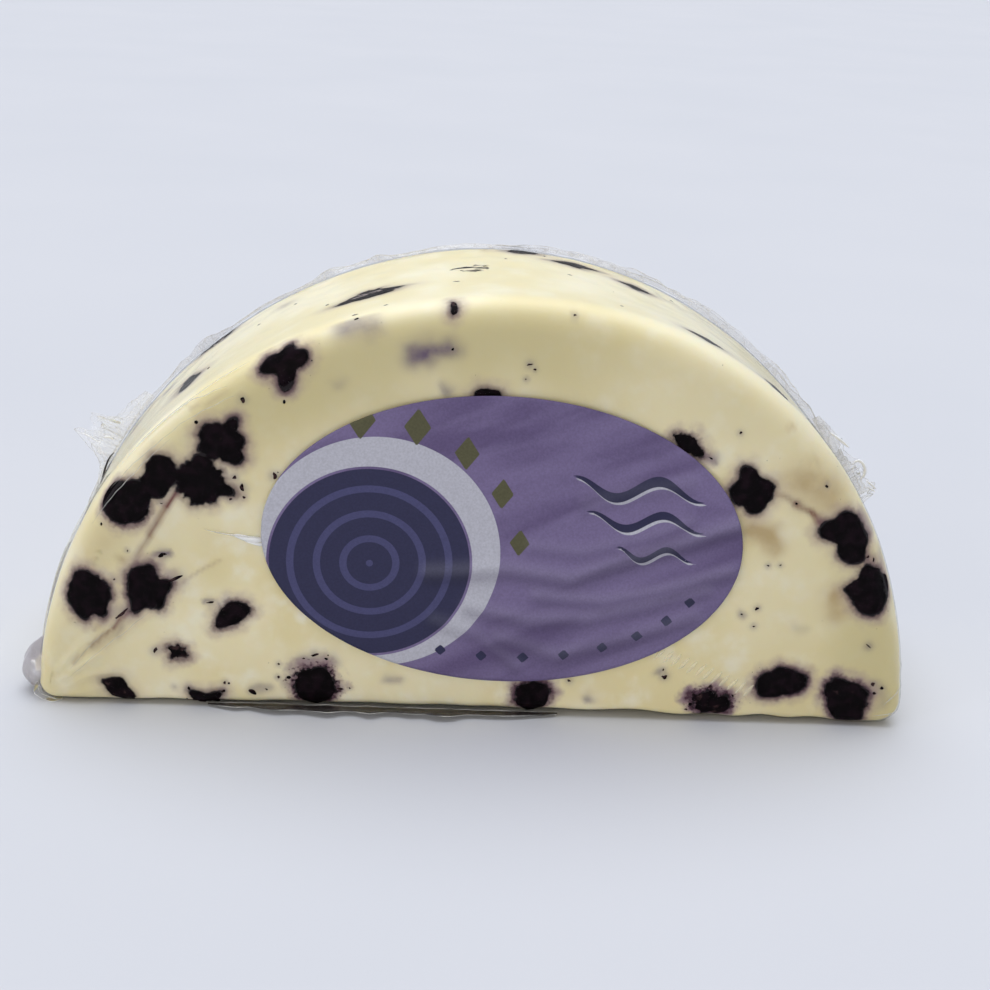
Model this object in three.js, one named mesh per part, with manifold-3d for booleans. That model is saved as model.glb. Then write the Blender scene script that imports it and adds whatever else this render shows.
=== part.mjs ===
// Half wheel of crumbly white cheese set with whole blueberries, vacuum packed in clear film.
// Millimetres. X runs along the cut, Y through the wheel from its labelled face to its back, Z up.
// It stands on its cut face, and the origin is the middle of that face.
import * as THREE from "three";
import { mergeVertices } from "three/addons/utils/BufferGeometryUtils.js";
import Module from "manifold-3d";

const wasm = await Module();
wasm.setup();

// The wheel
const WHEEL_RADIUS = 105;
const WHEEL_DEPTH = 62;
const HALF_DEPTH = WHEEL_DEPTH / 2;
const RIM_ROUND = 7; // edge between the rim and each flat face
const CUT_ROUND = 3; // edge between the cut face and each flat face
const CORNER_ROUND = { right: 6.5, left: 4.5 }; // where the rim comes down to the cut
const ROUND_BLEND = 24; // degrees of rim over which CUT_ROUND grows to RIM_ROUND
// Share of the radius by which the hand-pressed wheel is out of round, in 2, 3 and 4 waves a turn
const FRONT_WAVES = [0.008, -0.013, -0.004];
const BACK_WAVES = [0.023, -0.005, 0.008];

// How finely the wheel is divided
const RIM_STEPS = 60;
const CORNER_STEPS = 4;
const CUT_STEPS = 8;
const ROUND_STEPS = 4;

// Clearance that parts keep, and the flush trim's thickness
const GAP = 0.3;
const LABEL = { x: 3.3, z: 46, width: 113, height: 72, turn: -1.5, thick: 0.3, sides: 44 };

// The berries. Each is a crushed lump whose ragged outline lies flush in the surface of the cheese.
const BERRY_SIDES = 10;
const BERRY_DEPTH = 0.55; // of its smaller width
const BERRY_PROUD = 2.5; // how far the lump is drawn past the surface before it is trimmed flush
const BERRY_BELLY = { depth: 0.45, width: 1.0 };
const BERRY_FOOT = { depth: 0.85, width: 0.62 };
const CUT_BERRY_LIFT = 0.2; // those in the cut face stay clear of what the cheese stands on

// On the labelled face: x, z, width, height, turn in degrees, points of the ragged edge, its depth
const FRONT_BERRIES = [
  [-47.5, 87, 11, 12.5, 20, 3, 0.3],
  [-61.5, 68, 11.5, 11.5, 0, 5, 0.16],
  [-66.5, 57.5, 14, 9, -12, 5, 0.16],
  [-76.3, 60, 6, 10.5, -8, 2, 0.1],
  [-84, 52, 11.5, 10.5, 12, 4, 0.08],
  [-93.3, 29, 10, 12, 8, 7, 0.08],
  [-79.5, 31, 9, 12.5, 6, 4, 0.16],
  [-60.2, 24.7, 9.5, 6, 28, 3, 0.12],
  [-73, 15, 4.4, 3.8, 0, 4, 0.2],
  [-87.2, 4.8, 8, 5, -28, 3, 0.14],
  [-66, 3.4, 9.5, 3.2, 3, 3, 0.12],
  [-40.2, 7.2, 11.5, 11.5, 0, 6, 0.07],
  [-2, 81, 7, 6.5, 0, 5, 0.1],
  [12, 6.2, 8.5, 8, 10, 5, 0.12],
  [56.4, 5.4, 11, 6, -6, 6, 0.22],
  [73.3, 11.3, 13, 7.4, 8, 4, 0.1],
  [90.4, 8.4, 10.5, 12, -10, 4, 0.12],
  [92, 36.5, 11.5, 12.5, -14, 5, 0.1],
  [85.2, 50.8, 11.5, 12.5, -6, 5, 0.15],
  [61.2, 61, 10, 12, 12, 4, 0.18],
  [45, 72.4, 7, 6, -30, 4, 0.12],
  [-10.6, 101.6, 3.2, 5, 12, 2, 0.16],
];
// On the rim: degrees round from +X, y, length along the rim, width, turn, points, depth
const RIM_BERRIES = [
  [107.6, -7.5, 16, 8.5, -14, 4, 0.16],
  [134.8, -4, 7.5, 10.5, 14, 3, 0.16],
  [93.3, 3, 9, 7, 8, 4, 0.2],
  [79, 18, 12, 7, -8, 4, 0.18],
  [70.8, 12.5, 7, 7.5, 0, 3, 0.16],
  [62.4, -16.5, 10, 5.5, 10, 3, 0.14],
  [51.2, -18, 7, 10, 0, 4, 0.14],
  [86, 24, 7, 4.5, 0, 3, 0.12],
  [38, 3, 9, 9, 20, 5, 0.14],
  [15, -8, 10, 8, 0, 4, 0.14],
  [160, 2, 9, 10.5, 30, 5, 0.12],
  [133, 24, 8, 5, 0, 3, 0.14],
];
// On the back: x, z, then as on the labelled face
const BACK_BERRIES = [
  [-86, 30, 11, 12, 10, 5, 0.12],
  [-66, 62, 12, 10, -20, 4, 0.16],
  [-44, 19, 10.5, 11, 0, 6, 0.1],
  [-29, 85, 10, 8.5, 15, 4, 0.18],
  [-21, 50, 12, 11.5, 40, 5, 0.12],
  [4, 12, 9, 7, 0, 4, 0.16],
  [12, 78, 11, 12, -10, 5, 0.12],
  [33, 41, 12.5, 10, 25, 5, 0.14],
  [56, 72, 9, 10, 0, 4, 0.16],
  [64, 17, 11, 9.5, -15, 4, 0.14],
  [88, 41, 10, 12, 10, 5, 0.1],
];
// In the cut face: x, y, then as above
const CUT_BERRIES = [
  [-84, 9, 10, 12, 15, 5, 0.12],
  [-52, -12, 12, 10, -10, 5, 0.14],
  [-27, 15, 9, 9.5, 0, 4, 0.16],
  [29, -13, 11, 10, 30, 5, 0.12],
  [57, 12, 12, 9, -20, 4, 0.14],
  [85, -7, 9.5, 11, 0, 5, 0.12],
];

// Loose film of the shrunk bag
const SEAM = { from: 4, to: 176, steps: 60, y: 24.5, sway: 1.1, thick: 0.7, low: 1.0, high: 2.9 };
const EAR = { y: 16, reach: 11, spread: 17, tip: 0.75, pleats: 3, fold: 2, thick: 0.6 };
const EAR_GRID = { rows: 4, columns: 13 };
const EARS = {
  left: { angle: 153.5, curl: 0.35, seed: 2 },
  right: { angle: 27, curl: -0.3, seed: 5 },
};
const PILLOW = { x: -105.4, y: -23, z: 7.6, length: 11, width: 12, height: 14 };
const BASE_FOLD = { from: -66, to: 19, steps: 26, reach: 5.4, height: 2.3, thick: 0.7 };

const radians = THREE.MathUtils.degToRad;
const seededRandom = THREE.MathUtils.seededRandom;
const group = new THREE.Group();

const materials = {
  cheese: new THREE.MeshStandardMaterial({ color: 0xece3c4, roughness: 0.3, metalness: 0 }),
  berry: new THREE.MeshStandardMaterial({ color: 0x221a26, roughness: 0.4, metalness: 0 }),
  label: new THREE.MeshStandardMaterial({ color: 0x7d6ea6, roughness: 0.5, metalness: 0 }),
  film: new THREE.MeshStandardMaterial({ color: 0xdfe3e8, roughness: 0.15, metalness: 0 }),
};

// A closed solid from points and triangles, turned so that its faces point out
function solidFrom(points, triangles) {
  const build = (faces) => {
    const geometry = new THREE.BufferGeometry();
    geometry.setAttribute("position", new THREE.Float32BufferAttribute(points.flat(), 3));
    geometry.setIndex(faces.flat());
    return solidOf(geometry);
  };
  const solid = build(triangles);
  return solid.volume() > 0 ? solid : build(triangles.map(([a, b, c]) => [a, c, b]));
}

// The same from a three.js geometry
function solidOf(geometry) {
  const bare = geometry.clone();
  bare.deleteAttribute("normal");
  bare.deleteAttribute("uv");
  const merged = mergeVertices(bare, 1e-4);
  return new wasm.Manifold(
    new wasm.Mesh({
      numProp: 3,
      vertProperties: new Float32Array(merged.attributes.position.array),
      triVerts: new Uint32Array(merged.index.array),
    }),
  );
}

// The largest of the bodies that a cut leaves
function largestBody(solid) {
  const bodies = solid.decompose();
  return bodies.reduce((a, b) => (a.volume() > b.volume() ? a : b));
}

function addSolid(name, solid, material) {
  const { vertProperties, triVerts } = solid.getMesh();
  const geometry = new THREE.BufferGeometry();
  geometry.setAttribute("position", new THREE.BufferAttribute(vertProperties, 3));
  geometry.setIndex(new THREE.BufferAttribute(triVerts, 1));
  geometry.computeVertexNormals();
  const mesh = new THREE.Mesh(geometry, material);
  mesh.name = name;
  group.add(mesh);
}

// Triangles between neighbouring rings of equally many points, with both ends closed on one point each
function closedRings(rings, first, last) {
  const count = rings[0].length;
  const points = rings.flat();
  const start = points.push(first) - 1;
  const end = points.push(last) - 1;
  const triangles = [];
  for (let k = 0; k < count; k++) {
    const next = (k + 1) % count;
    triangles.push([start, next, k]);
    for (let row = 0; row + 1 < rings.length; row++) {
      const a = row * count;
      const b = a + count;
      triangles.push([a + k, a + next, b + next], [a + k, b + next, b + k]);
    }
    const top = (rings.length - 1) * count;
    triangles.push([end, top + k, top + next]);
  }
  return solidFrom(points, triangles);
}

// How far out of round the wheel is at an angle (radians) and a depth
function swell(angle, y) {
  const share = THREE.MathUtils.clamp((y + HALF_DEPTH) / WHEEL_DEPTH, 0, 1);
  return FRONT_WAVES.reduce((sum, front, k) => {
    const size = THREE.MathUtils.lerp(front, BACK_WAVES[k], share);
    return sum + size * Math.cos((k + 2) * angle);
  }, 1);
}

// Radius of the edge round at an angle: small over the cut, larger round the rim
function edgeRound(angle) {
  const fromCut = Math.min(angle, Math.PI - angle) / radians(ROUND_BLEND);
  return THREE.MathUtils.lerp(CUT_ROUND, RIM_ROUND, THREE.MathUtils.smoothstep(fromCut, 0, 1));
}

// The half disc's outline in X and Z with its two rounded corners: places, outward normals, edge rounds
function wheelOutline() {
  const outline = [];
  const corner = (round) => {
    const x = Math.sqrt((WHEEL_RADIUS - round) ** 2 - round ** 2);
    return { x, meets: Math.atan2(round, x), round };
  };
  const right = corner(CORNER_ROUND.right);
  const left = corner(CORNER_ROUND.left);
  const arc = (cx, cz, radius, from, to, steps, round) => {
    for (let k = 0; k < steps; k++) {
      const angle = THREE.MathUtils.lerp(from, to, k / steps);
      const nx = Math.cos(angle);
      const nz = Math.sin(angle);
      outline.push({ x: cx + radius * nx, z: cz + radius * nz, nx, nz, round: round(angle) });
    }
  };
  const small = () => CUT_ROUND;
  arc(right.x, right.round, right.round, -Math.PI / 2, right.meets, CORNER_STEPS, small);
  arc(0, 0, WHEEL_RADIUS, right.meets, Math.PI - left.meets, RIM_STEPS, edgeRound);
  arc(-left.x, left.round, left.round, Math.PI - left.meets, 1.5 * Math.PI, CORNER_STEPS, small);
  for (let k = 0; k < CUT_STEPS; k++) {
    const x = THREE.MathUtils.lerp(-left.x, right.x, k / CUT_STEPS);
    outline.push({ x, z: 0, nx: 0, nz: -1, round: CUT_ROUND });
  }
  return outline;
}

// The packed half wheel without its pockets, grown on every side by grow
function wheelBody(grow = 0) {
  const outline = wheelOutline();
  const place = (point, inset, y) => {
    const x = point.x - point.nx * (inset - grow);
    const z = point.z - point.nz * (inset - grow);
    const scale = swell(Math.atan2(Math.max(point.z, 0), point.x), y);
    return [x * scale, y, point.z === 0 ? z : z * scale];
  };
  const rings = [];
  for (const side of [-1, 1]) {
    for (let k = 0; k <= ROUND_STEPS; k++) {
      const turn = ((side < 0 ? k : ROUND_STEPS - k) / ROUND_STEPS) * (Math.PI / 2);
      rings.push(
        outline.map((point) => {
          const y = side * (HALF_DEPTH + grow - point.round * (1 - Math.cos(turn)));
          return place(point, point.round * (1 - Math.sin(turn)), y);
        }),
      );
    }
  }
  const middle = WHEEL_RADIUS / 3;
  return closedRings(rings, [0, -HALF_DEPTH - grow, middle], [0, HALF_DEPTH + grow, middle]);
}

// A seat on the surface: its place, its outward normal and two directions along the surface
function seat(place, normal, along) {
  const n = new THREE.Vector3(...normal).normalize();
  const v = new THREE.Vector3().crossVectors(n, new THREE.Vector3(...along)).normalize();
  const u = new THREE.Vector3().crossVectors(v, n);
  return { place: new THREE.Vector3(...place), n, u, v };
}

// On a flat face (side -1 for the labelled one): over the edge round the seat leans outwards
function faceSeat(side, x, z) {
  const angle = Math.atan2(z, x);
  const radius = WHEEL_RADIUS * swell(angle, side * HALF_DEPTH);
  const round = edgeRound(angle);
  const toEdge = radius - Math.hypot(x, z);
  const lean = Math.asin(THREE.MathUtils.clamp(1 - toEdge / round, 0, 0.9));
  const y = side * (HALF_DEPTH - round * (1 - Math.cos(lean)));
  const outward = Math.sin(lean);
  const normal = [Math.cos(angle) * outward, side * Math.cos(lean), Math.sin(angle) * outward];
  return seat([x, y, z], normal, [1, 0, 0]);
}

function rimSeat(degrees, y) {
  const angle = radians(degrees);
  const radius = WHEEL_RADIUS * swell(angle, y);
  const normal = [Math.cos(angle), 0, Math.sin(angle)];
  return seat([radius * normal[0], y, radius * normal[2]], normal, [normal[2], 0, -normal[0]]);
}

const cutSeat = (x, y) => seat([x, y, 0], [0, 0, -1], [1, 0, 0]);

// One crushed berry seated on the surface, grown by grow on every side
function berryLump(where, width, height, turn, points, ragged, seed, grow = 0) {
  const depth = BERRY_DEPTH * Math.min(width, height) + grow;
  const ring = (level, share) =>
    Array.from({ length: BERRY_SIDES }, (_, k) => {
      const angle = (k / BERRY_SIDES) * 2 * Math.PI;
      const jitter = seededRandom(seed * 31 + k) - 0.5;
      const edge = 1 + ragged * Math.sin(points * angle + seed) + 0.5 * ragged * jitter;
      const a = share * (0.5 * width * edge + grow) * Math.cos(angle);
      const b = share * (0.5 * height * edge + grow) * Math.sin(angle);
      const c = Math.cos(radians(turn));
      const s = Math.sin(radians(turn));
      return at(where, a * c - b * s, a * s + b * c, level);
    });
  const proud = BERRY_PROUD + 2 * grow;
  const rings = [
    ring(proud, 1),
    ring(-BERRY_BELLY.depth * depth, BERRY_BELLY.width),
    ring(-BERRY_FOOT.depth * depth, BERRY_FOOT.width),
  ];
  return closedRings(rings, at(where, 0, 0, proud), at(where, 0, 0, -depth));
}

// A point off a seat: u and v along the surface, n outwards
function at(where, u, v, n) {
  const point = where.place.clone();
  point.addScaledVector(where.u, u);
  point.addScaledVector(where.v, v);
  point.addScaledVector(where.n, n);
  return point.toArray();
}

// The label: a thin oval just off the flat face
function label() {
  const oval = new THREE.Shape().absellipse(0, 0, LABEL.width / 2, LABEL.height / 2, 0, 2 * Math.PI);
  const geometry = new THREE.ExtrudeGeometry(oval, {
    depth: LABEL.thick,
    bevelEnabled: false,
    curveSegments: LABEL.sides,
  });
  geometry.rotateX(Math.PI / 2);
  geometry.rotateY(-radians(LABEL.turn));
  geometry.translate(LABEL.x, -HALF_DEPTH - GAP, LABEL.z);
  return solidOf(geometry);
}

// The seam: a low gathered fin that stands on the rim, near the back edge
function filmSeam() {
  const rings = [];
  for (let k = 0; k <= SEAM.steps; k++) {
    const angle = radians(THREE.MathUtils.lerp(SEAM.from, SEAM.to, k / SEAM.steps));
    const foot = WHEEL_RADIUS * swell(angle, SEAM.y) + GAP;
    const height = THREE.MathUtils.lerp(SEAM.low, SEAM.high, seededRandom(k + 5));
    const footY = SEAM.y + SEAM.sway * Math.sin(k * 1.9);
    const topY = footY + SEAM.sway * Math.sin(k * 2.7 + 1);
    const point = (radius, y) => [radius * Math.cos(angle), y, radius * Math.sin(angle)];
    rings.push([
      point(foot, footY - SEAM.thick / 2),
      point(foot, footY + SEAM.thick / 2),
      point(foot + height, topY + SEAM.thick / 2),
      point(foot + height, topY - SEAM.thick / 2),
    ]);
  }
  return closedRings(rings, middleOf(rings[0]), middleOf(rings[rings.length - 1]));
}

function middleOf(ring) {
  return [0, 1, 2].map((axis) => ring.reduce((sum, point) => sum + point[axis], 0) / ring.length);
}

// A corner of the bag: a pleated ear that stands out from the rim, spreads and curls
function filmEar({ angle, curl, seed }) {
  const where = rimSeat(angle, EAR.y);
  const lift = GAP + EAR.thick;
  const onSheet = (row, column, offset) => {
    const out = row / (EAR_GRID.rows - 1);
    const across = column / (EAR_GRID.columns - 1) - 0.5;
    const ripple = Math.sin(across * EAR.pleats * 2 * Math.PI + seed);
    const jitter = 1 + 0.35 * (seededRandom(seed * 17 + column) - 0.5);
    const width = EAR.spread * THREE.MathUtils.lerp(1, EAR.tip, out);
    const u = across * width + curl * EAR.reach * out * out;
    const v = offset + EAR.fold * ripple * THREE.MathUtils.lerp(0.35, 1, out);
    return at(where, u, v, lift + EAR.reach * out * jitter);
  };
  const loops = Array.from({ length: EAR_GRID.columns }, (_, column) => {
    const rows = Array.from({ length: EAR_GRID.rows }, (_, row) => row);
    const front = rows.map((row) => onSheet(row, column, EAR.thick / 2));
    const back = rows.map((row) => onSheet(row, column, -EAR.thick / 2));
    return [...front, ...back.reverse()];
  });
  return closedStrip(loops);
}

// Closed loops of equally many points joined one to the next, with both end loops filled in bands
function closedStrip(loops) {
  const count = loops[0].length;
  const points = loops.flat();
  const triangles = [];
  for (let loop = 0; loop + 1 < loops.length; loop++) {
    for (let k = 0; k < count; k++) {
      const next = (k + 1) % count;
      const a = loop * count;
      const b = a + count;
      triangles.push([a + k, a + next, b + next], [a + k, b + next, b + k]);
    }
  }
  const last = (loops.length - 1) * count;
  for (let k = 0; k + 1 < count / 2; k++) {
    const across = count - 1 - k;
    const [c, d, e, f] = [last + k, last + k + 1, last + across, last + across - 1];
    triangles.push([k, across, k + 1], [k + 1, across, across - 1]);
    triangles.push([c, d, e], [d, f, e]);
  }
  return solidFrom(points, triangles);
}

// The air pillow that the bag keeps at the front left corner
function filmPillow(clearance) {
  const ball = new THREE.SphereGeometry(0.5, 14, 9);
  ball.scale(PILLOW.length, PILLOW.width, PILLOW.height);
  ball.rotateY(radians(8));
  ball.translate(PILLOW.x, PILLOW.y, PILLOW.z);
  return largestBody(solidOf(ball).subtract(clearance));
}

// The fold of spare film that lies in front of the cut face's edge
function filmBaseFold(clearance) {
  const loops = [];
  for (let k = 0; k <= BASE_FOLD.steps; k++) {
    const share = k / BASE_FOLD.steps;
    const x = THREE.MathUtils.lerp(BASE_FOLD.from, BASE_FOLD.to, share);
    const full = Math.sin(Math.PI * share) ** 0.6;
    const ragged = 0.8 + 0.4 * seededRandom(k + 40);
    const reach = 1 + (BASE_FOLD.reach - 1) * full * ragged;
    const height = GAP + BASE_FOLD.thick + (BASE_FOLD.height - BASE_FOLD.thick) * full * ragged;
    const edge = -HALF_DEPTH + CUT_ROUND;
    loops.push([
      [x, edge, GAP],
      [x, edge, height],
      [x, edge - CUT_ROUND - 0.45 * reach, height],
      [x, edge - CUT_ROUND - reach, GAP + BASE_FOLD.thick],
      [x, edge - CUT_ROUND - reach, GAP],
      [x, edge - CUT_ROUND, GAP],
    ]);
  }
  return largestBody(closedStrip(loops).subtract(clearance));
}

const body = wheelBody();
const clearance = wheelBody(GAP);
const seats = {
  front: [FRONT_BERRIES, (x, z) => faceSeat(-1, x, z)],
  rim: [RIM_BERRIES, rimSeat],
  back: [BACK_BERRIES, (x, z) => faceSeat(1, x, z)],
  cut: [CUT_BERRIES, cutSeat],
};
const places = Object.entries(seats).flatMap(([side, [berries, seatOf]]) =>
  berries.map(([a, b, ...shape], k) => ({
    name: `berry_${side}_${k + 1}`,
    where: seatOf(a, b),
    shape,
  })),
);

// Each berry is trimmed flush with the cheese and cleared of the ones before it
let cheese = body;
let room = null;
const floorTrim = new THREE.BoxGeometry(3 * WHEEL_RADIUS, 2 * WHEEL_DEPTH, 2 * BERRY_PROUD);
floorTrim.translate(0, 0, CUT_BERRY_LIFT - BERRY_PROUD);
const underFloor = solidOf(floorTrim);
places.forEach(({ name, where, shape }, seed) => {
  const pocket = berryLump(where, ...shape, seed, GAP);
  let berry = berryLump(where, ...shape, seed).intersect(body).subtract(underFloor);
  if (room) berry = berry.subtract(room);
  room = room ? room.add(pocket) : pocket;
  cheese = cheese.subtract(pocket);
  addSolid(name, largestBody(berry), materials.berry);
});
addSolid("packed_cheese", largestBody(cheese), materials.cheese);
addSolid("label", label(), materials.label);
addSolid("film_seam", filmSeam(), materials.film);
addSolid("film_ear_left", filmEar(EARS.left), materials.film);
addSolid("film_ear_right", filmEar(EARS.right), materials.film);
addSolid("film_pillow", filmPillow(clearance), materials.film);
addSolid("film_base_fold", filmBaseFold(clearance), materials.film);

export default group;
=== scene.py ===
"""Half wheel of crumbly white cheese set with blueberries, vacuum packed in clear film.

The labelled face looks along -Y, the wheel stands on its cut face and Z is up. Every size in the
classes below is in millimetres, and MM turns it to the frame's metres where a mesh is made.
"""

from __future__ import annotations

import logging
from dataclasses import dataclass
from enum import Enum
from math import asin, atan2, ceil, cos, hypot, pi, radians, sin, sqrt

import bmesh
import bpy
import numpy as np
from bpy.types import ID, Material, Mesh, NodeSocket, NodeTree, Object
from mathutils import Matrix, Vector, noise
from mathutils.bvhtree import BVHTree
from mathutils.geometry import delaunay_2d_cdt


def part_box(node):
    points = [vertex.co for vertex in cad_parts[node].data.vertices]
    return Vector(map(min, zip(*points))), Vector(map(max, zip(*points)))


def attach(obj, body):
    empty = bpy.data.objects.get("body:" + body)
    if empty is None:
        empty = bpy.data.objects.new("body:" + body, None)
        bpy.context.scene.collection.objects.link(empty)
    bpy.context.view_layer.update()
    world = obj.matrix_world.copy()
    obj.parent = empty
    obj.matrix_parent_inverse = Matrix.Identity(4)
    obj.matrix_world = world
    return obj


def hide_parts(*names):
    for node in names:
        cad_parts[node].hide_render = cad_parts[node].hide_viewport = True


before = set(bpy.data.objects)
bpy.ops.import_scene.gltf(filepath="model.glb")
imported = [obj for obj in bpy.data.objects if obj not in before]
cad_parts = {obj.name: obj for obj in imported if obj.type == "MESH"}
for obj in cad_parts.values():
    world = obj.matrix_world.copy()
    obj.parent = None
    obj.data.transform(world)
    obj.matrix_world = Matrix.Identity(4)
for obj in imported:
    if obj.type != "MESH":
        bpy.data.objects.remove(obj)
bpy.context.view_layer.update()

Array = np.ndarray
Faces = list[tuple[int, ...]]
Line = tuple[tuple[float, float], ...]

MM = 0.001
# Millimetres along the rim for each degree, on which the rim's creases are laid out
A_DEGREE = 1.8
LOG = logging.getLogger("packed_cheese")


def linear(hex_colour: str) -> tuple[float, float, float, float]:
    """Turns sRGB hex to linear light.

    Args:
        hex_colour: six digits, red first.
    Returns:
        Red, green, blue and an alpha of one.
    """
    shares = [int(hex_colour[k : k + 2], 16) / 255 for k in (0, 2, 4)]
    red, green, blue = (s / 12.92 if s <= 0.04045 else ((s + 0.055) / 1.055) ** 2.4 for s in shares)
    return red, green, blue, 1.0


# Settings of a node that ramps smoothly, and of one that lays one tint over another
SOFT = {"interpolation_type": "SMOOTHSTEP"}
TINTS = {"data_type": "RGBA"}


def per_mm(size: float) -> float:
    """Texture scale whose features are about size millimetres across."""
    return 1.0 / (size * MM)


class Graph:
    """A node tree that is filled one node at a time."""

    FAMILIES = ("ShaderNode",)

    def __init__(self, tree: NodeTree) -> None:
        """Keeps the tree."""
        self.tree = tree

    def add(
        self, kind: str, inputs: object = (), out: int | str = 0, **settings: object
    ) -> NodeSocket | None:
        """Adds one node with its settings, values and links.

        Args:
            kind: the node's type name without its family, and after a dot its operation.
            inputs: a value, a hex colour or another node's output for each input, in order or as a
                dict by name or number.
            out: the output that is wanted.
            settings: the node's own options.
        Returns:
            The wanted output, or None where the node has none.
        """
        kind, _, operation = kind.partition(".")
        family = next(name for name in self.FAMILIES if hasattr(bpy.types, name + kind))
        node = self.tree.nodes.new(family + kind)
        for name, value in ({"operation": operation} | settings if operation else settings).items():
            setattr(node, name, value)
        for key, value in inputs.items() if isinstance(inputs, dict) else enumerate(inputs):
            socket = node.inputs[key]
            if isinstance(value, NodeSocket):
                self.tree.links.new(value, socket)
            elif isinstance(value, str) and socket.type == "RGBA":
                socket.default_value = linear(value)
            else:
                socket.default_value = value
        return node.outputs[out] if node.outputs else None


class Finish(Graph):
    """A material that is drawn by nodes in object coordinates."""

    def __init__(self, name: str) -> None:
        """Starts an empty material.

        Args:
            name: what the real stuff is.
        """
        self.material = bpy.data.materials.new(name)
        self.material.use_nodes = True
        super().__init__(self.material.node_tree)
        self.tree.nodes.clear()
        self.place = self.add("TexCoord", out="Object")

    def surface(self, shader: NodeSocket) -> Material:
        """Ends the material with its shader."""
        self.add("OutputMaterial", {"Surface": shader})
        return self.material


class GeometryTree(Graph):
    """A Geometry Nodes tree with named inputs, ended by Realize Instances and Set Material."""

    FAMILIES = ("GeometryNode", "ShaderNode", "FunctionNode", "Node")
    SOCKETS = {float: "NodeSocketFloat", int: "NodeSocketInt", Object: "NodeSocketObject"}

    def __init__(self, name: str, values: dict[str, object]) -> None:
        """Starts a tree.

        Args:
            name: what it makes.
            values: each named input's value.
        """
        super().__init__(bpy.data.node_groups.new(name, "GeometryNodeTree"))
        face = self.tree.interface
        face.new_socket("Geometry", in_out="INPUT", socket_type="NodeSocketGeometry")
        face.new_socket("Geometry", in_out="OUTPUT", socket_type="NodeSocketGeometry")
        self.values = {}
        for label, value in values.items():
            kind = self.SOCKETS[type(value)]
            socket = face.new_socket(label, in_out="INPUT", socket_type=kind)
            self.values[socket.identifier] = value
        self.entry = self.tree.nodes.new("NodeGroupInput")

    def given(self, name: str) -> NodeSocket:
        """The tree's own input of that name."""
        return self.entry.outputs[name]

    def end(self, geometry: NodeSocket, material: Material) -> None:
        """Ends the tree.

        Args:
            geometry: what it made.
            material: what that is made of.
        """
        real = self.add("RealizeInstances", {"Geometry": geometry})
        dressed = self.add("SetMaterial", {"Geometry": real, "Material": material})
        self.add("GroupOutput", (dressed,))

    def plain_mesh(self, data: ID, thickness: float = 0.0) -> Mesh:
        """Runs the tree on a mesh or curve, which is used up.

        Args:
            data: the mesh or curve.
            thickness: wall in millimetres, or none.
        Returns:
            The result as a plain mesh.
        """
        host = placed("host", data)
        modifier = host.modifiers.new(self.tree.name, "NODES")
        modifier.node_group = self.tree
        for identifier, value in self.values.items():
            modifier[identifier] = value
        if thickness:
            wall = host.modifiers.new("wall", "SOLIDIFY")
            wall.thickness = thickness * MM
            wall.offset = 0.0
        graph = bpy.context.evaluated_depsgraph_get()
        made = host.evaluated_get(graph)
        mesh = bpy.data.meshes.new_from_object(made, preserve_all_data_layers=True, depsgraph=graph)
        host.modifiers.clear()
        bpy.data.objects.remove(host)
        return mesh


def placed(name: str, data: ID) -> Object:
    """Puts new data in the scene as an object."""
    obj = bpy.data.objects.new(name, data)
    bpy.context.scene.collection.objects.link(obj)
    return obj


def box_of(node: str) -> tuple[Vector, Vector]:
    """A CAD node's middle and size in millimetres."""
    low, high = (Vector(corner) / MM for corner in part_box(node))
    return (low + high) / 2, high - low


def mesh_of(name: str, points: Array, faces: Faces) -> Mesh:
    """Makes a smooth mesh with its faces turned outwards.

    Args:
        name: its name.
        points: X, Y, Z rows in millimetres.
        faces: vertex numbers.
    Returns:
        The mesh, in metres.
    """
    mesh = bpy.data.meshes.new(name)
    mesh.from_pydata((np.asarray(points) * MM).tolist(), [], faces)
    work = bmesh.new()
    work.from_mesh(mesh)
    bmesh.ops.recalc_face_normals(work, faces=work.faces)
    work.to_mesh(mesh)
    work.free()
    mesh.shade_smooth()
    return mesh


def points_of(mesh: Mesh) -> Array:
    """The mesh's vertices in millimetres, one row each."""
    flat = np.empty(len(mesh.vertices) * 3)
    mesh.vertices.foreach_get("co", flat)
    return flat.reshape(-1, 3) / MM


def write(mesh: Mesh, name: str, values: Array) -> None:
    """Stores one number, or three, on each vertex.

    Args:
        mesh: the mesh.
        name: the attribute's name.
        values: one row a vertex.
    """
    vector = values.ndim == 2
    layer = mesh.attributes.new(name, "FLOAT_VECTOR" if vector else "FLOAT", "POINT")
    layer.data.foreach_set("vector" if vector else "value", values.astype(np.float32).ravel())


def piece(name: str, mesh: Mesh, slot: str, *nodes: str) -> Object:
    """Puts a finished mesh in the scene.

    Args:
        name: the piece's name.
        mesh: its mesh, in place.
        slot: the record's slot for its finish. Not used.
        nodes: CAD nodes that it stands for.
    Returns:
        The object.
    """
    obj = placed(name, mesh)
    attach(obj, "root")
    if nodes:
        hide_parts(*nodes)
    LOG.info("%s: %d faces", name, len(mesh.polygons))
    return obj


def closed_rows(rows: int, count: int) -> Faces:
    """Quads between closed rows of equally many points.

    Args:
        rows: how many rows.
        count: points in each.
    Returns:
        The faces.
    """
    step = np.arange(count)
    after = (step + 1) % count
    faces: Faces = []
    for row in range(rows - 1):
        a, b = row * count, (row + 1) * count
        faces += zip(*(c.tolist() for c in (a + step, a + after, b + after, b + step)))
    return faces


def open_rows(rows: int, count: int) -> Faces:
    """Quads of an open sheet.

    Args:
        rows: how many rows.
        count: points in each.
    Returns:
        The faces.
    """
    return [
        (r * count + k, r * count + k + 1, (r + 1) * count + k + 1, (r + 1) * count + k)
        for r in range(rows - 1)
        for k in range(count - 1)
    ]


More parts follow.
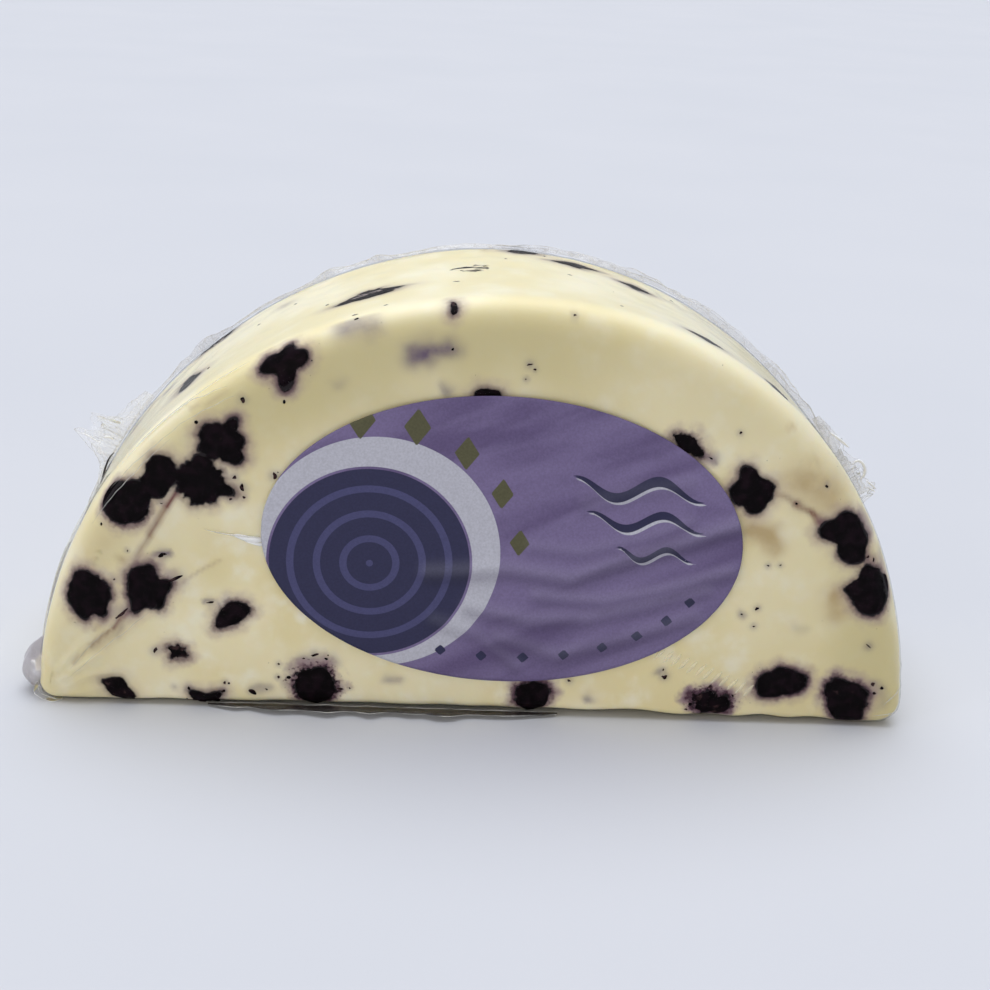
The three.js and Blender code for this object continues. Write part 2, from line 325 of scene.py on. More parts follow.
def to_line(points: Array, line: Array, closed: bool = False) -> Array:
    """Distance from points to a line of straight stretches.

    Args:
        points: two columns.
        line: two columns.
        closed: whether it closes. Distances inside it are then negative.
    Returns:
        One distance a point.
    """
    a = line if closed else line[:-1]
    b = np.roll(line, -1, 0) if closed else line[1:]
    best = np.full(len(points), np.inf)
    inside = np.zeros(len(points), bool)
    for start, end in zip(a, b):
        along, away = end - start, points - start
        share = np.clip(away @ along / max(along @ along, 1e-12), 0, 1)
        best = np.minimum(best, np.hypot(*(away - share[:, None] * along).T))
        crosses = (start[1] > points[:, 1]) != (end[1] > points[:, 1])
        rise = np.where(crosses, along[1], 1.0)
        inside ^= crosses & (points[:, 0] < start[0] + away[:, 1] / rise * along[0])
    return np.where(inside, -best, best) if closed else best


def fill(edge: Array, step: float) -> tuple[Array, Faces]:
    """Fills a flat closed line with even triangles.

    Args:
        edge: two columns.
        step: wanted side of a triangle.
    Returns:
        All points, the edge's first, and the triangles.
    """
    low, high = edge.min(0), edge.max(0)
    rows = np.arange(low[1] + step / 2, high[1], step * sqrt(0.75))
    inner = np.concatenate(
        [
            np.stack(np.broadcast_arrays(np.arange(low[0] + (k % 2) * step / 2, high[0], step), z), 1)
            for k, z in enumerate(rows)
        ]
    )
    inner = inner[to_line(inner, edge, closed=True) < -0.6 * step]
    points = np.concatenate([edge, inner])
    count = len(edge)
    rim = [(k, (k + 1) % count) for k in range(count)]
    found = delaunay_2d_cdt([Vector(p) for p in points.tolist()], rim, [], 1, 1e-7, True)
    source = [ids[0] for ids in found[3]]
    return points, [tuple(source[k] for k in face) for face in found[2]]


@dataclass(frozen=True)
class Seat:
    """A place on the cheese with its outward direction n and two directions along the surface."""

    place: Vector
    n: Vector
    u: Vector
    v: Vector

    @staticmethod
    def at(place: tuple[float, ...], normal: tuple[float, ...], along: tuple[float, ...]) -> Seat:
        """Makes a seat whose u runs as nearly as it can towards along."""
        n = Vector(normal).normalized()
        v = n.cross(Vector(along)).normalized()
        return Seat(Vector(place), n, v.cross(n), v)

    def flat(self, points: Array) -> tuple[Array, Array]:
        """Points seen in the seat's own directions.

        Args:
            points: X, Y, Z rows.
        Returns:
            Their u and v, and their height above it.
        """
        away = points - np.array(self.place)
        return np.stack([away @ np.array(self.u), away @ np.array(self.v)], 1), away @ np.array(self.n)


@dataclass(frozen=True)
class Spacing:
    """How finely the wheel's surface is divided."""

    around: float
    across: float
    front: float
    back: float
    round_rows: int = 8


@dataclass(frozen=True)
class WheelForm:
    """The half wheel: a rounded half disc, slightly out of round, as its hand-filled mould left it."""

    radius: float = 105.0
    half_depth: float = 31.0
    rim_round: float = 7.0
    cut_round: float = 3.0
    corner_right: float = 6.5
    corner_left: float = 4.5
    blend: float = radians(24)
    front_waves: tuple[float, ...] = (0.008, -0.013, -0.004)
    back_waves: tuple[float, ...] = (0.023, -0.005, 0.008)

    def swell(self, angle: Array, y: Array) -> Array:
        """How far out of round the wheel is at an angle and a depth, as a share of its radius."""
        share = np.clip((y + self.half_depth) / (2 * self.half_depth), 0, 1)
        waves = zip(self.front_waves, self.back_waves)
        return 1 + sum((f + (b - f) * share) * np.cos((k + 2) * angle) for k, (f, b) in enumerate(waves))

    def edge_round(self, angle: Array) -> Array:
        """Radius of the edge round: small over the cut, larger round the rim."""
        share = np.clip(np.minimum(angle, pi - angle) / self.blend, 0, 1)
        return self.cut_round + (self.rim_round - self.cut_round) * share * share * (3 - 2 * share)

    def outline(self, step: float) -> Array:
        """The half disc's outline with its rounded corners.

        Args:
            step: distance between points.
        Returns:
            Rows of x, z, outward normal x and z, and edge round.
        """
        rows = []

        def arc(cx: float, cz: float, radius: float, start: float, end: float, rim: bool) -> None:
            """Adds the rows of an arc round a middle, from one angle to another."""
            angle = np.linspace(start, end, ceil(radius * (end - start) / step), endpoint=False)
            nx, nz = np.cos(angle), np.sin(angle)
            edge = self.edge_round(angle) if rim else np.full_like(angle, self.cut_round)
            rows.append(np.stack([cx + radius * nx, cz + radius * nz, nx, nz, edge], 1))

        right_x, left_x = (
            sqrt((self.radius - c) ** 2 - c**2) for c in (self.corner_right, self.corner_left)
        )
        right, left = atan2(self.corner_right, right_x), atan2(self.corner_left, left_x)
        arc(right_x, self.corner_right, self.corner_right, -pi / 2, right, False)
        arc(0, 0, self.radius, right, pi - left, True)
        arc(-left_x, self.corner_left, self.corner_left, pi - left, 1.5 * pi, False)
        x = np.linspace(-left_x, right_x, ceil((left_x + right_x) / step), endpoint=False)
        flat = np.zeros_like(x)
        rows.append(np.stack([x, flat, flat, flat - 1, flat + self.cut_round], 1))
        return np.concatenate(rows)

    def ring(self, line: Array, inset: Array, y: Array) -> Array:
        """One ring of the surface.

        Args:
            line: the outline's rows.
            inset: how far inside them it runs.
            y: its depth at each point.
        Returns:
            X, Y, Z rows.
        """
        x, z, nx, nz = line[:, :4].T
        scale = self.swell(np.arctan2(np.maximum(z, 0), x), y)
        up = z - nz * inset
        return np.stack([(x - nx * inset) * scale, y, np.where(z == 0, up, up * scale)], 1)

    def closed(self, spacing: Spacing) -> tuple[Array, Faces]:
        """The whole closed surface.

        Args:
            spacing: how finely it is divided.
        Returns:
            Points and faces.
        """
        line = self.outline(spacing.around)
        edge = line[:, 4]
        flank = self.half_depth - edge
        turns = np.linspace(0, pi / 2, spacing.round_rows + 1)
        rounds = [(edge * (1 - sin(t)), self.half_depth - edge * (1 - cos(t))) for t in turns]
        between = np.linspace(-1, 1, ceil(2 * self.half_depth / spacing.across))[1:-1]
        rings = [self.ring(line, inset, -y) for inset, y in rounds]
        rings += [self.ring(line, np.zeros_like(edge), share * flank) for share in between]
        rings += [self.ring(line, inset, y) for inset, y in reversed(rounds)]
        faces = closed_rows(len(rings), len(line))
        points = [np.concatenate(rings)]
        total = len(points[0])
        for ring, start, step, depth in (
            (rings[0], 0, spacing.front, -self.half_depth),
            (rings[-1], total - len(line), spacing.back, self.half_depth),
        ):
            flat, triangles = fill(ring[:, [0, 2]], step)
            inner = flat[len(line) :]
            points.append(np.stack([inner[:, 0], np.full(len(inner), depth), inner[:, 1]], 1))
            number = np.concatenate([start + np.arange(len(line)), total + np.arange(len(inner))])
            faces += [tuple(number[list(face)].tolist()) for face in triangles]
            total += len(inner)
        return np.concatenate(points), faces

    def face_seat(self, side: int, x: float, z: float) -> Seat:
        """A seat on a flat face. Over the edge round it leans outwards.

        Args:
            side: -1 for the labelled face and 1 for the back.
            x: its place along the wheel.
            z: its height.
        Returns:
            The seat.
        """
        angle = atan2(z, x)
        reach = self.radius * self.swell(angle, side * self.half_depth) - hypot(x, z)
        edge = float(self.edge_round(angle))
        lean = asin(min(max(1 - reach / edge, 0), 0.9))
        y = side * (self.half_depth - edge * (1 - cos(lean)))
        out = sin(lean)
        normal = (cos(angle) * out, side * cos(lean), sin(angle) * out)
        return Seat.at((x, y, z), normal, (1, 0, 0))

    def rim_seat(self, angle: float, y: float) -> Seat:
        """A seat on the rim at an angle from +X, in radians."""
        reach = float(self.radius * self.swell(angle, y))
        c, s = cos(angle), sin(angle)
        return Seat.at((reach * c, y, reach * s), (c, 0, s), (s, 0, -c))


class Surface:
    """The finished cheese's surface, on which everything else is laid."""

    def __init__(self, mesh: Mesh) -> None:
        """Builds the search tree.

        Args:
            mesh: the finished cheese.
        """
        points = points_of(mesh)
        faces = [tuple(polygon.vertices) for polygon in mesh.polygons]
        self.tree = BVHTree.FromPolygons(points.tolist(), faces)

    def under(self, point: Vector, normal: Vector) -> Vector:
        """The place on the surface straight below a point.

        Args:
            point: a place near it.
            normal: the way that is up there.
        Returns:
            The place, or the nearest one where none is close below.
        """
        hit = self.tree.ray_cast(point + 9 * normal, -normal, 18)[0]
        fell = hit is None or (point - hit).dot(normal) > 1.5
        return self.tree.find_nearest(point)[0] if fell else hit


class Side(Enum):
    """Which of the cheese's faces a berry shows in."""

    FRONT = "front"
    RIM = "rim"
    BACK = "back"
    CUT = "cut"


@dataclass(frozen=True)
class Berry:
    """A crushed berry: its outline as reaches from its middle at even angles, all in its face."""

    side: Side
    number: int
    reach: tuple[float, ...]
    middle: tuple[float, float] | None = None
    ragged: float = 0.4
    bleed: float = 0.55
    pulp: float = 0.12
    sliver_and_sheen: float = 0.0

    @property
    def node(self) -> str:
        """The CAD node that it stands for."""
        return f"berry_{self.side.value}_{self.number}"

    def outline(self, sides: int) -> Array:
        """A smooth closed curve through the reaches, made ragged.

        Args:
            sides: how many points.
        Returns:
            Two columns, counted from its middle.
        """
        angle = np.linspace(0, 2 * pi, sides, endpoint=False)
        reach = np.array(self.reach)
        count = len(reach)
        where = angle / (2 * pi) * count
        low = np.floor(where).astype(int)
        t = where - low
        p = [reach[(low + k) % count] for k in (-1, 0, 1, 2)]
        bend = 2 * p[0] - 5 * p[1] + 4 * p[2] - p[3], 3 * (p[1] - p[2]) + p[3] - p[0]
        curve = p[1] + 0.5 * t * (p[2] - p[0] + t * (bend[0] + t * bend[1]))
        draw = np.random.default_rng(100 * self.number + len(self.side.value))
        ring = np.stack([np.cos(angle), np.sin(angle)], 1)

        def wave(turns: float) -> Array:
            """Noise along the outline, finer with more turns."""
            seed = draw.uniform(0, 90)
            return np.array([noise.noise(Vector((turns * c, turns * s, seed))) for c, s in ring.tolist()])

        # Rounded crumbs with sharp notches between them, of three sizes. Some stretches stay smooth
        crumbs = ((1.3, 1.0), (2.9, 0.65), (6.0, 0.4))
        rough = sum(share * (2.6 * np.abs(wave(turns)) - 0.5) for turns, share in crumbs)
        torn = np.clip(0.7 + 2.2 * wave(0.8), 0.12, 1.5)
        reach = np.maximum(curve + self.ragged * torn * rough * np.clip(curve / 3, 0.3, 1), 0.3)
        flat = reach[:, None] * ring
        if self.side is Side.RIM:
            # The mould's hoop has drawn the ends out in streaks
            seed = draw.uniform(0, 90)
            streaks = [noise.noise(Vector((1.9 * v, seed, 0))) for v in flat[:, 1].tolist()]
            flat[:, 0] *= 1 + 0.55 * np.array(streaks)
        return flat


# Reaches in tenths of a millimetre every 20 degrees from +X towards +Z, the middle's X and Z, and how
# ragged it is, how far it bleeds, and its shares of pulp and of curd drawn across it. On the eighth the
# grey curd share is a painted sheen that stands for the film's grey glints
FRONT_BERRIES = (
    ((44, 55, 55, 37, 47, 42, 36, 36, 50, 59, 67, 36, 41, 65, 53, 36, 29, 30), (-47.7, 87.3), 0.35, 0.6),
    ((50, 44, 41, 48, 57, 47, 53, 65, 62, 58, 63, 52, 46, 39, 44, 60, 59, 45), (-61.6, 67.8), 0.75),
    ((48, 34, 37, 50, 63, 67, 61, 61, 65, 68, 60, 49, 56, 59, 54, 52, 49, 82), (-66.5, 58.3), 1),
    ((42, 40, 42, 46, 46, 45, 42, 39, 37, 37, 50, 64, 62, 59, 55, 42, 40, 43), (-76.2, 59.9), 0.4),
    ((53, 65, 68, 62, 54, 50, 54, 55, 56, 62, 66, 62, 60, 57, 52, 55, 53, 52), (-83.9, 52.5), 0.45, 0.75),
    ((51, 50, 51, 50, 55, 64, 63, 54, 55, 53, 56, 57, 63, 67, 54, 69, 55, 52), (-93.4, 29.1), 0.4, 0.7),
    ((53, 59, 40, 42, 65, 62, 65, 60, 52, 49, 53, 55, 77, 51, 53, 60, 50, 46), (-79.6, 30.9), 0.35, 0.7),
    # The eighth: its grey curd share is a painted sheen of the film's glints
    ((36, 49, 48, 42, 38, 35, 29, 29, 29, 31, 39, 49, 37, 29, 26, 24, 25, 28),
     (-60.2, 24.7), 0.3, 0.7, 0.12, 0.46),
    ((19, 12, 11, 14, 19, 14, 13, 19, 24, 16, 13, 17, 23, 16, 13, 15, 26, 25),
     (-73.1, 14.9), 0.9, 0.75, 0.85),
    ((22, 21, 21, 22, 24, 27, 31, 36, 42, 34, 32, 30, 30, 32, 38, 50, 50, 35), (-87.1, 4.6), 0.35, 0.35, 0.5),
    ((35, 42, 13, 8, 7, 7, 9, 20, 44, 39, 36, 24, 18, 16, 16, 18, 24, 32), (-66.4, 2.7), 0.35, 0.5, 0.3),
    ((50, 50, 49, 50, 48, 47, 49, 51, 52, 53, 50, 53, 57, 59, 59, 57, 54, 52), (-40.2, 6.9), 0.4, 1.3, 0.15),
    ((30, 22, 15, 12, 11, 11, 13, 17, 26, 33, 34, 32, 32, 33, 34, 34, 33, 32), (-2, 82.2), 0.3),
    ((43, 46, 46, 41, 39, 39, 41, 43, 43, 40, 40, 42, 47, 49, 48, 47, 46, 44), (12.4, 5.9), 0.5, 0.9),
    ((47, 40, 29, 25, 27, 30, 28, 31, 39, 46, 44, 38, 34, 33, 33, 36, 42, 47),
     (56.6, 5.5), 1.2, 1.2, 0.55, 0.34),
    ((63, 64, 49, 45, 43, 47, 44, 48, 59, 65, 64, 63, 46, 35, 32, 36, 45, 54), (73.3, 11.3), 0.25, 0.7),
    ((50, 52, 46, 44, 44, 48, 62, 70, 61, 56, 56, 58, 66, 72, 74, 70, 60, 52), (90.2, 7.8), 0.55, 0.8, 0.3),
    ((53, 51, 53, 49, 58, 68, 63, 48, 53, 66, 55, 53, 59, 64, 69, 66, 59, 58), (92.1, 36.9), 0.5, 0.7, 0.2),
    ((50, 41, 41, 44, 54, 62, 66, 66, 82, 78, 46, 39, 54, 65, 74, 74, 55, 50), (85.4, 50.6), 0.45, 0.65),
    ((43, 45, 42, 38, 39, 62, 72, 51, 53, 61, 58, 55, 45, 55, 58, 51, 44, 46), (61.2, 61), 0.4),
    ((16, 14, 13, 13, 14, 18, 21, 29, 44, 34, 29, 26, 26, 26, 28, 42, 44, 20), (45, 72.4), 0.35, 0.8),
    ((7, 7, 8, 11, 16, 19, 16, 12, 9, 7, 7, 10, 16, 21, 19, 14, 9, 7), (-10.6, 101.4), 0.4, 0.6, 0.7, 0.2),
)
# Length of each berry along the rim. Across the rim, and elsewhere, the CAD nodes give the sizes.
RIM_LENGTHS = (16, 7.5, 9, 12, 7, 10, 7, 7, 9, 10, 9, 8)
BACK_COUNT, CUT_COUNT = 11, 6
# Share of curd drawn across some of them, in part a painted sheen for the film's grey glints
RIM_SLIVERS_AND_SHEEN = {1: 0.42, 2: 0.1, 3: 0.72, 4: 0.1, 6: 0.05, 7: 0.1, 12: 0.5}
# Berries of the rim with long arms: reaches like those of the labelled face
RIM_TAILS = {
    1: (84, 64, 50, 46, 44, 41, 39, 36, 38, 52, 79, 48, 40, 38, 39, 42, 47, 63),
    2: (37, 36, 32, 34, 42, 50, 44, 32, 26, 26, 30, 38, 46, 50, 44, 32, 28, 33),
    4: (60, 34, 26, 26, 26, 24, 26, 34, 44, 62, 42, 28, 22, 24, 30, 32, 29, 36),
    5: (42, 24, 16, 22, 28, 24, 18, 28, 40, 30, 18, 14, 19, 28, 26, 18, 22, 32),
    6: (46, 21, 18, 18, 19, 20, 22, 27, 39, 52, 32, 24, 23, 23, 22, 20, 19, 25),
    7: (36, 32, 28, 27, 26, 25, 25, 26, 30, 39, 28, 23, 22, 23, 25, 27, 30, 34),
}


def in_mm(tenths: tuple[int, ...]) -> tuple[float, ...]:
    """Tenths of a millimetre as millimetres."""
    return tuple(tenth / 10 for tenth in tenths)


class BerryMaker:
    """Places the berries in the cheese and makes their lumps."""

    def __init__(self, form: WheelForm) -> None:
        """Works out each berry's seat and outline.

        Args:
            form: the wheel.
        """
        self.form = form
        self.berries = [
            Berry(Side.FRONT, k + 1, in_mm(row[0]), *row[1:]) for k, row in enumerate(FRONT_BERRIES)
        ]
        self.berries += [self.hidden(Side.RIM, k + 1, length) for k, length in enumerate(RIM_LENGTHS)]
        self.berries += [self.hidden(Side.BACK, k + 1) for k in range(BACK_COUNT)]
        self.berries += [self.hidden(Side.CUT, k + 1) for k in range(CUT_COUNT)]
        self.seats = [self.seat(berry) for berry in self.berries]
        self.outlines = [
            self.clear_of_floor(berry.outline(128), seat) for berry, seat in zip(self.berries, self.seats)
        ]

    def hidden(self, side: Side, number: int, length: float | None = None) -> Berry:
        """A berry that isn't drawn: an oval with a few blunt arms.

        Args:
            side: where it is.
            number: which one there.
            length: its length along the rim.
        Returns:
            The berry.
        """
        size = box_of(f"berry_{side.value}_{number}")[1]
        across = {Side.RIM: (length, size.y), Side.BACK: (size.x, size.z), Side.CUT: (size.x, size.y)}[side]
        draw = np.random.default_rng(7 * number + 50 * len(side.value))
        angle = np.radians(np.arange(0, 360, 20))
        arms = 1 + 0.15 * np.sin(draw.integers(2, 4) * angle + draw.uniform(0, 6)) + draw.normal(0, 0.08, 18)
        oval = 0.5 / np.hypot(np.cos(angle) / across[0], np.sin(angle) / across[1])
        bleed, pulp = draw.uniform(0.35, 0.9), draw.uniform(0.05, 0.4)
        if side is Side.RIM:
            sliver_and_sheen = RIM_SLIVERS_AND_SHEEN.get(number, draw.uniform(0.15, 0.4))
            bleed = 0.55 * bleed if sliver_and_sheen < 0.6 else 0.0
            reach = in_mm(RIM_TAILS[number]) if number in RIM_TAILS else tuple((oval * arms).tolist())
            return Berry(side, number, reach, None, 0.85, bleed, pulp, sliver_and_sheen)
        return Berry(side, number, tuple((oval * arms).tolist()), None, draw.uniform(0.3, 0.7), bleed, pulp)

    def seat(self, berry: Berry) -> Seat:
        """Where a berry sits: its own middle on the labelled face, its CAD node's elsewhere.

        Args:
            berry: which one.
        Returns:
            The seat.
        """
        middle = box_of(berry.node)[0]
        if berry.side is Side.RIM:
            return self.form.rim_seat(atan2(middle.z, middle.x), middle.y)
        if berry.side is Side.CUT:
            return Seat.at((middle.x, middle.y, 0), (0, 0, -1), (1, 0, 0))
        x, z = berry.middle or (middle.x, middle.z)
        return self.form.face_seat(-1 if berry.side is Side.FRONT else 1, x, z)

    @staticmethod
    def clear_of_floor(outline: Array, seat: Seat) -> Array:
        """Keeps an outline above the cheese's bottom edge.

        Args:
            outline: two columns.
            seat: where it is drawn.
        Returns:
            The outline, cut off where it went too low.
        """
        if abs(seat.v.z) > 0.5:
            low = 0.9 - seat.place.z
            outline = outline.copy()
            v = outline[:, 1]
            outline[:, 1] = np.maximum(v, low) if seat.v.z > 0 else np.minimum(v, -low)
        return outline

    def gaps(self, points: Array) -> tuple[Array, Array]:
        """How far each point of the cheese is from the nearest berry.

        Args:
            points: X, Y, Z rows.
        Returns:
            The distance, negative inside an outline, and how much that berry bleeds.
        """
        gap = np.full(len(points), 12.0)
        bleed = np.zeros(len(points))
        for berry, seat, outline in zip(self.berries, self.seats, self.outlines):
            flat, height = seat.flat(points)
            near = (np.abs(height) < 9) & (np.hypot(*flat.T) < max(berry.reach) + 9)
            drawn = (0.5, 1.0) if berry.side is Side.RIM else (1.0, 1.0)
            distance = to_line(flat[near] * drawn, outline * drawn, closed=True)
            # Where the cheese turns away at its edge the halo dies out
            distance += 0.9 * np.clip(np.abs(height[near]) - 2.3, 0, None)
            better = distance < gap[near]
            chosen = np.flatnonzero(near)[better]
            gap[chosen] = distance[better]
            bleed[chosen] = berry.bleed
        return gap, bleed

    def lump(self, berry: Berry, seat: Seat, outline: Array, surface: Surface) -> Mesh:
        """A crinkled crown almost flush with the cheese over a blunt root.

        Args:
            berry: which one.
            seat: where it sits.
            outline: its outline there.
            surface: the cheese.
        Returns:
            Its closed mesh.
        """
        shares = (0.14, 0.28, 0.41, 0.53, 0.63, 0.72, 0.8, 0.86, 0.91, 0.95, 0.98, 1.0)
        count = len(outline)
        depth = 0.5 * min(np.ptp(outline[:, 0]), np.ptp(outline[:, 1]))

        def crown(across: Array, share: float) -> Vector:
            """A point of the crown, at a share of the way out to the edge."""
            flat = seat.place + seat.u * float(across[0]) + seat.v * float(across[1])
            lumps = 0.07 * noise.noise(flat * 0.6) + 0.03 * noise.noise(flat * 1.7)
            fall = 0.42 * max(0.0, (share - 0.88) / 0.12) ** 2
            return surface.under(flat, seat.n) + seat.n * (0.1 + 0.06 * (1 - share**2) + lumps - fall)

        kernel = np.exp(-np.linspace(-2, 2, 25) ** 2)
        spread = np.concatenate([outline[-12:], outline, outline[:12]])
        calm = np.stack([np.convolve(spread[:, k], kernel / kernel.sum(), "valid") for k in (0, 1)], 1)
        # The torn edge calms down towards the middle
        points = [
            crown(across, share)
            for share in shares
            for across in share * (calm + (outline - calm) * max(0.0, (share - 0.5) / 0.5) ** 2)
        ]
        for share, level in ((0.97, 0.25), (0.88, 0.55), (0.6, 0.85)):
            for across in outline * share:
                flat = seat.place + seat.u * float(across[0]) + seat.v * float(across[1])
                points.append(flat - seat.n * (0.6 + depth * level))
        rows = len(shares) + 3
        top = len(points)
        points.append(crown(np.zeros(2), 0.0))
        points.append(seat.place - seat.n * (0.6 + depth))
        faces = closed_rows(rows, count)
        faces += [(top, k, (k + 1) % count) for k in range(count)]
        foot = (rows - 1) * count
        faces += [(top + 1, foot + (k + 1) % count, foot + k) for k in range(count)]
        mesh = mesh_of(berry.node, np.array([tuple(p) for p in points]), faces)
        write(mesh, "pulp", np.full(len(points), berry.pulp))
        write(mesh, "sliver_and_sheen", np.full(len(points), berry.sliver_and_sheen))
        return mesh


class Tint(Enum):
    """What a mark in the cheese is, by its column in the stains attribute."""

    JUICE = 0
    SMUDGE = 1
    TAN = 2


# Soft marks in the labelled face: a line or a spot in X and Z, its width and its strength
STAINS = {
    Tint.JUICE: (
        (((-88.2, 20.6), (-84.6, 24.4)), 0.7, 0.95), (((-93.6, 15.2), (-88.2, 20.6)), 0.65, 0.6),
        (((-97.6, 10.9), (-93.6, 15.2)), 0.6, 0.32), (((-92.6, 15.2), (-86.8, 20.8)), 1.7, 0.3),
        (((-88.9, 24.4), (-92.2, 19.6)), 0.6, 0.25),
        (((-75, 51.6), (-73.2, 54.4), (-71.2, 56.8)), 0.72, 1), (((-79.2, 44.4), (-75, 51.6)), 0.8, 0.72),
        (((-82.6, 37), (-81.4, 40.2), (-79.2, 44.4)), 0.8, 0.48),
        (((-69.7, 75.1), (-60.9, 79.9)), 0.6, 0.22), (((-71.2, 33), (-68, 35.6), (-62.7, 39)), 0.5, 0.25),
        (((65.4, 60.8), (68.4, 59.9), (71.4, 58.3)), 0.85, 0.5),
        (((71.4, 58.3), (74.8, 56.4), (77, 54.6)), 0.95, 0.9), (((77, 54.6), (79.6, 52.8)), 1.2, 1),
        (((89.5, 45.5), (91.5, 44)), 1.6, 0.55),
    ),
    Tint.SMUDGE: (
        (((-88, 24.5), (-85.5, 22), (-86.8, 19)), 1.4, 0.35), (((95, 46), (98, 38)), 2.2, 0.4),
        (((88.5, 55.5), (91, 51)), 1.6, 0.5), (((-18.6, 90.4), (-16.2, 91.2)), 2.9, 0.95),
        (((-14.5, 91.8), (-11.2, 92.4)), 2.2, 0.9), (((-11.5, 82.7),), 1.6, 0.65),
        (((-35, 95.6), (-29, 96.6)), 2.6, 0.6), (((-44, 12.9), (-37, 13.4)), 2.2, 0.6),
        (((-46.6, 6), (-45.6, 11.5)), 1.6, 0.5), (((-36, 83),), 1.6, 0.3), (((26.4, 5.3),), 1.5, 0.6),
        (((-22.5, 9.3), (-20, 8.6)), 1.3, 0.5), (((-77.5, 39.5), (-75, 39.9)), 1, 0.9),
        (((-66.5, 27.6), (-64, 28.1)), 0.7, 0.8), (((61.6, 29.7),), 1.1, 0.7), (((43.2, 13.4),), 1.3, 0.6),
        (((75, 26.6), (77, 25.8)), 1.2, 0.15), (((-54.9, 4.5), (-52, 5.2)), 1.6, 0.5),
        (((-74.2, 4.7),), 1.1, 0.35), (((-50.2, 60.6),), 1.3, 0.35), (((55, 9.6), (60, 9)), 1.4, 0.5),
        (((97, 12), (99, 6)), 1.5, 0.35), (((47.5, 71), (51, 68.6)), 1.1, 0.7),
    ),
    Tint.TAN: (
        # The first is broad and soft: a darker zone near the right edge of the labelled face
        (((72, 64), (79, 60.5)), 5, 0.85), (((61.5, 50.8), (65.5, 50.3), (66.8, 47.5)), 2.9, 1),
        (((83.8, 35), (84.2, 31.5)), 3, 1), (((72.5, 69.2), (75, 68.6)), 1.3, 0.5),
        (((-86, 38.1),), 1.1, 0.9), (((68.3, 76.6),), 1, 0.4), (((73.3, 64.5),), 1, 0.3),
        (((-90, 43.5), (-93, 38)), 4, 0.3), (((-38, 33.5), (-36, 28)), 1.6, 0.35),
    ),
}


@dataclass(frozen=True)
class Crease:
    """A ridge of the film: its path, width, height, and the girth of the fold along its top.

    On a flat face the path is X and Z. On the rim it is degrees from +X, and Y.
    """

    path: Line
    width: float
    height: float
    strand: float = 0.0
    side: Side = Side.FRONT


CREASES = tuple(
    Crease(*row)
    for row in (
        (((-99, 7), (-92.5, 13.5), (-85, 20), (-77.5, 27)), 0.9, 0.28, 0.05),
        (((-98.5, 9.5), (-93, 16.5), (-87, 22.5)), 0.7, 0.22, 0.05),
        (((-99.5, 11), (-96, 17), (-91, 23.5)), 0.7, 0.16),
        (((-84, 22.5), (-80, 27.5), (-73, 32.8), (-63, 39), (-57, 43.5)), 0.8, 0.12),
        (((-92.6, 46), (-89, 51.5), (-84.7, 56.6), (-79.4, 62.8), (-73.8, 68.2)), 0.6, 0.2, 0.08),
        (((-88, 55), (-82.5, 61.5), (-76, 67.5), (-70.5, 72.6)), 0.6, 0.14, 0.06),
        (((-75, 72.5), (-69.5, 76.6), (-61, 81.2)), 0.6, 0.16, 0.09),
        (((-72, 71.5), (-66.5, 75.2), (-59, 79.4)), 0.5, 0.12, 0.07),
        (((-82, 37), (-78, 46), (-71.5, 55.6)), 0.6, 0.12),
        # The first and third of these three lie beside the label's left edge and are white rolls: a painted
        # glint
        (((-60.5, 45.5), (-56, 44.6), (-51, 44.1)), 0.7, 0.05, 0.85),
        (((-66.5, 46.6), (-61.5, 45.6), (-52, 44.9)), 0.6, 0.05, 0.2),
        (((-57, 43.9), (-54, 43.4), (-51, 43.2)), 0.6, 0.02, 0.5),
        (((148, -22.6), (156, -23.4), (165, -23.4), (177, -24.6)), 0.7, 0.5, 0.13, Side.RIM),
        (((160, -19.4), (168, -20.6), (178, -22)), 0.8, 0.9, 0.1, Side.RIM),
        (((-101.4, 9), (-97, 14.6), (-93.6, 17.4)), 1.1, 0.42),
        (((-100.8, 6.4), (-95.4, 11.2), (-91.4, 13.4)), 1.2, 0.55),
        (((-100, 4.4), (-94.4, 7.8), (-90, 9)), 1.1, 0.5),
        (((-98.2, 2.6), (-92.8, 4.4), (-89, 4.8)), 1.1, 0.45), (((99, 6.5), (103, 11)), 0.9, 0.2, 0.1),
        (((98, 13.5), (103, 15.5)), 0.8, 0.16), (((97, 3.5), (104, 4.5)), 0.9, 0.18, 0.1),
        (((65.4, 60.6), (71.4, 58), (79.2, 53.2)), 0.6, 0.1),
        # Twelve ripples, drawn as milky cream pleats: a painted sheen of the film
        *(
            (((41.4 + 2.05 * k, 16.6 - 0.85 * k), (44.1 + 2.05 * k, 20.2 - 0.85 * k)), 0.8, 0.03, 0.6)
            for k in range(12)
        ),
        (((-88.5, 61), (-81.5, 68.5), (-73, 75.5), (-66, 80.5)), 0.6, 0.12, 0.1),
        (((-84.5, 67), (-78, 73), (-71.5, 78)), 0.6, 0.1, 0.08),
        (((-70, 79.5), (-64, 83.5), (-57, 87.5)), 0.6, 0.1, 0.08),
    )
)


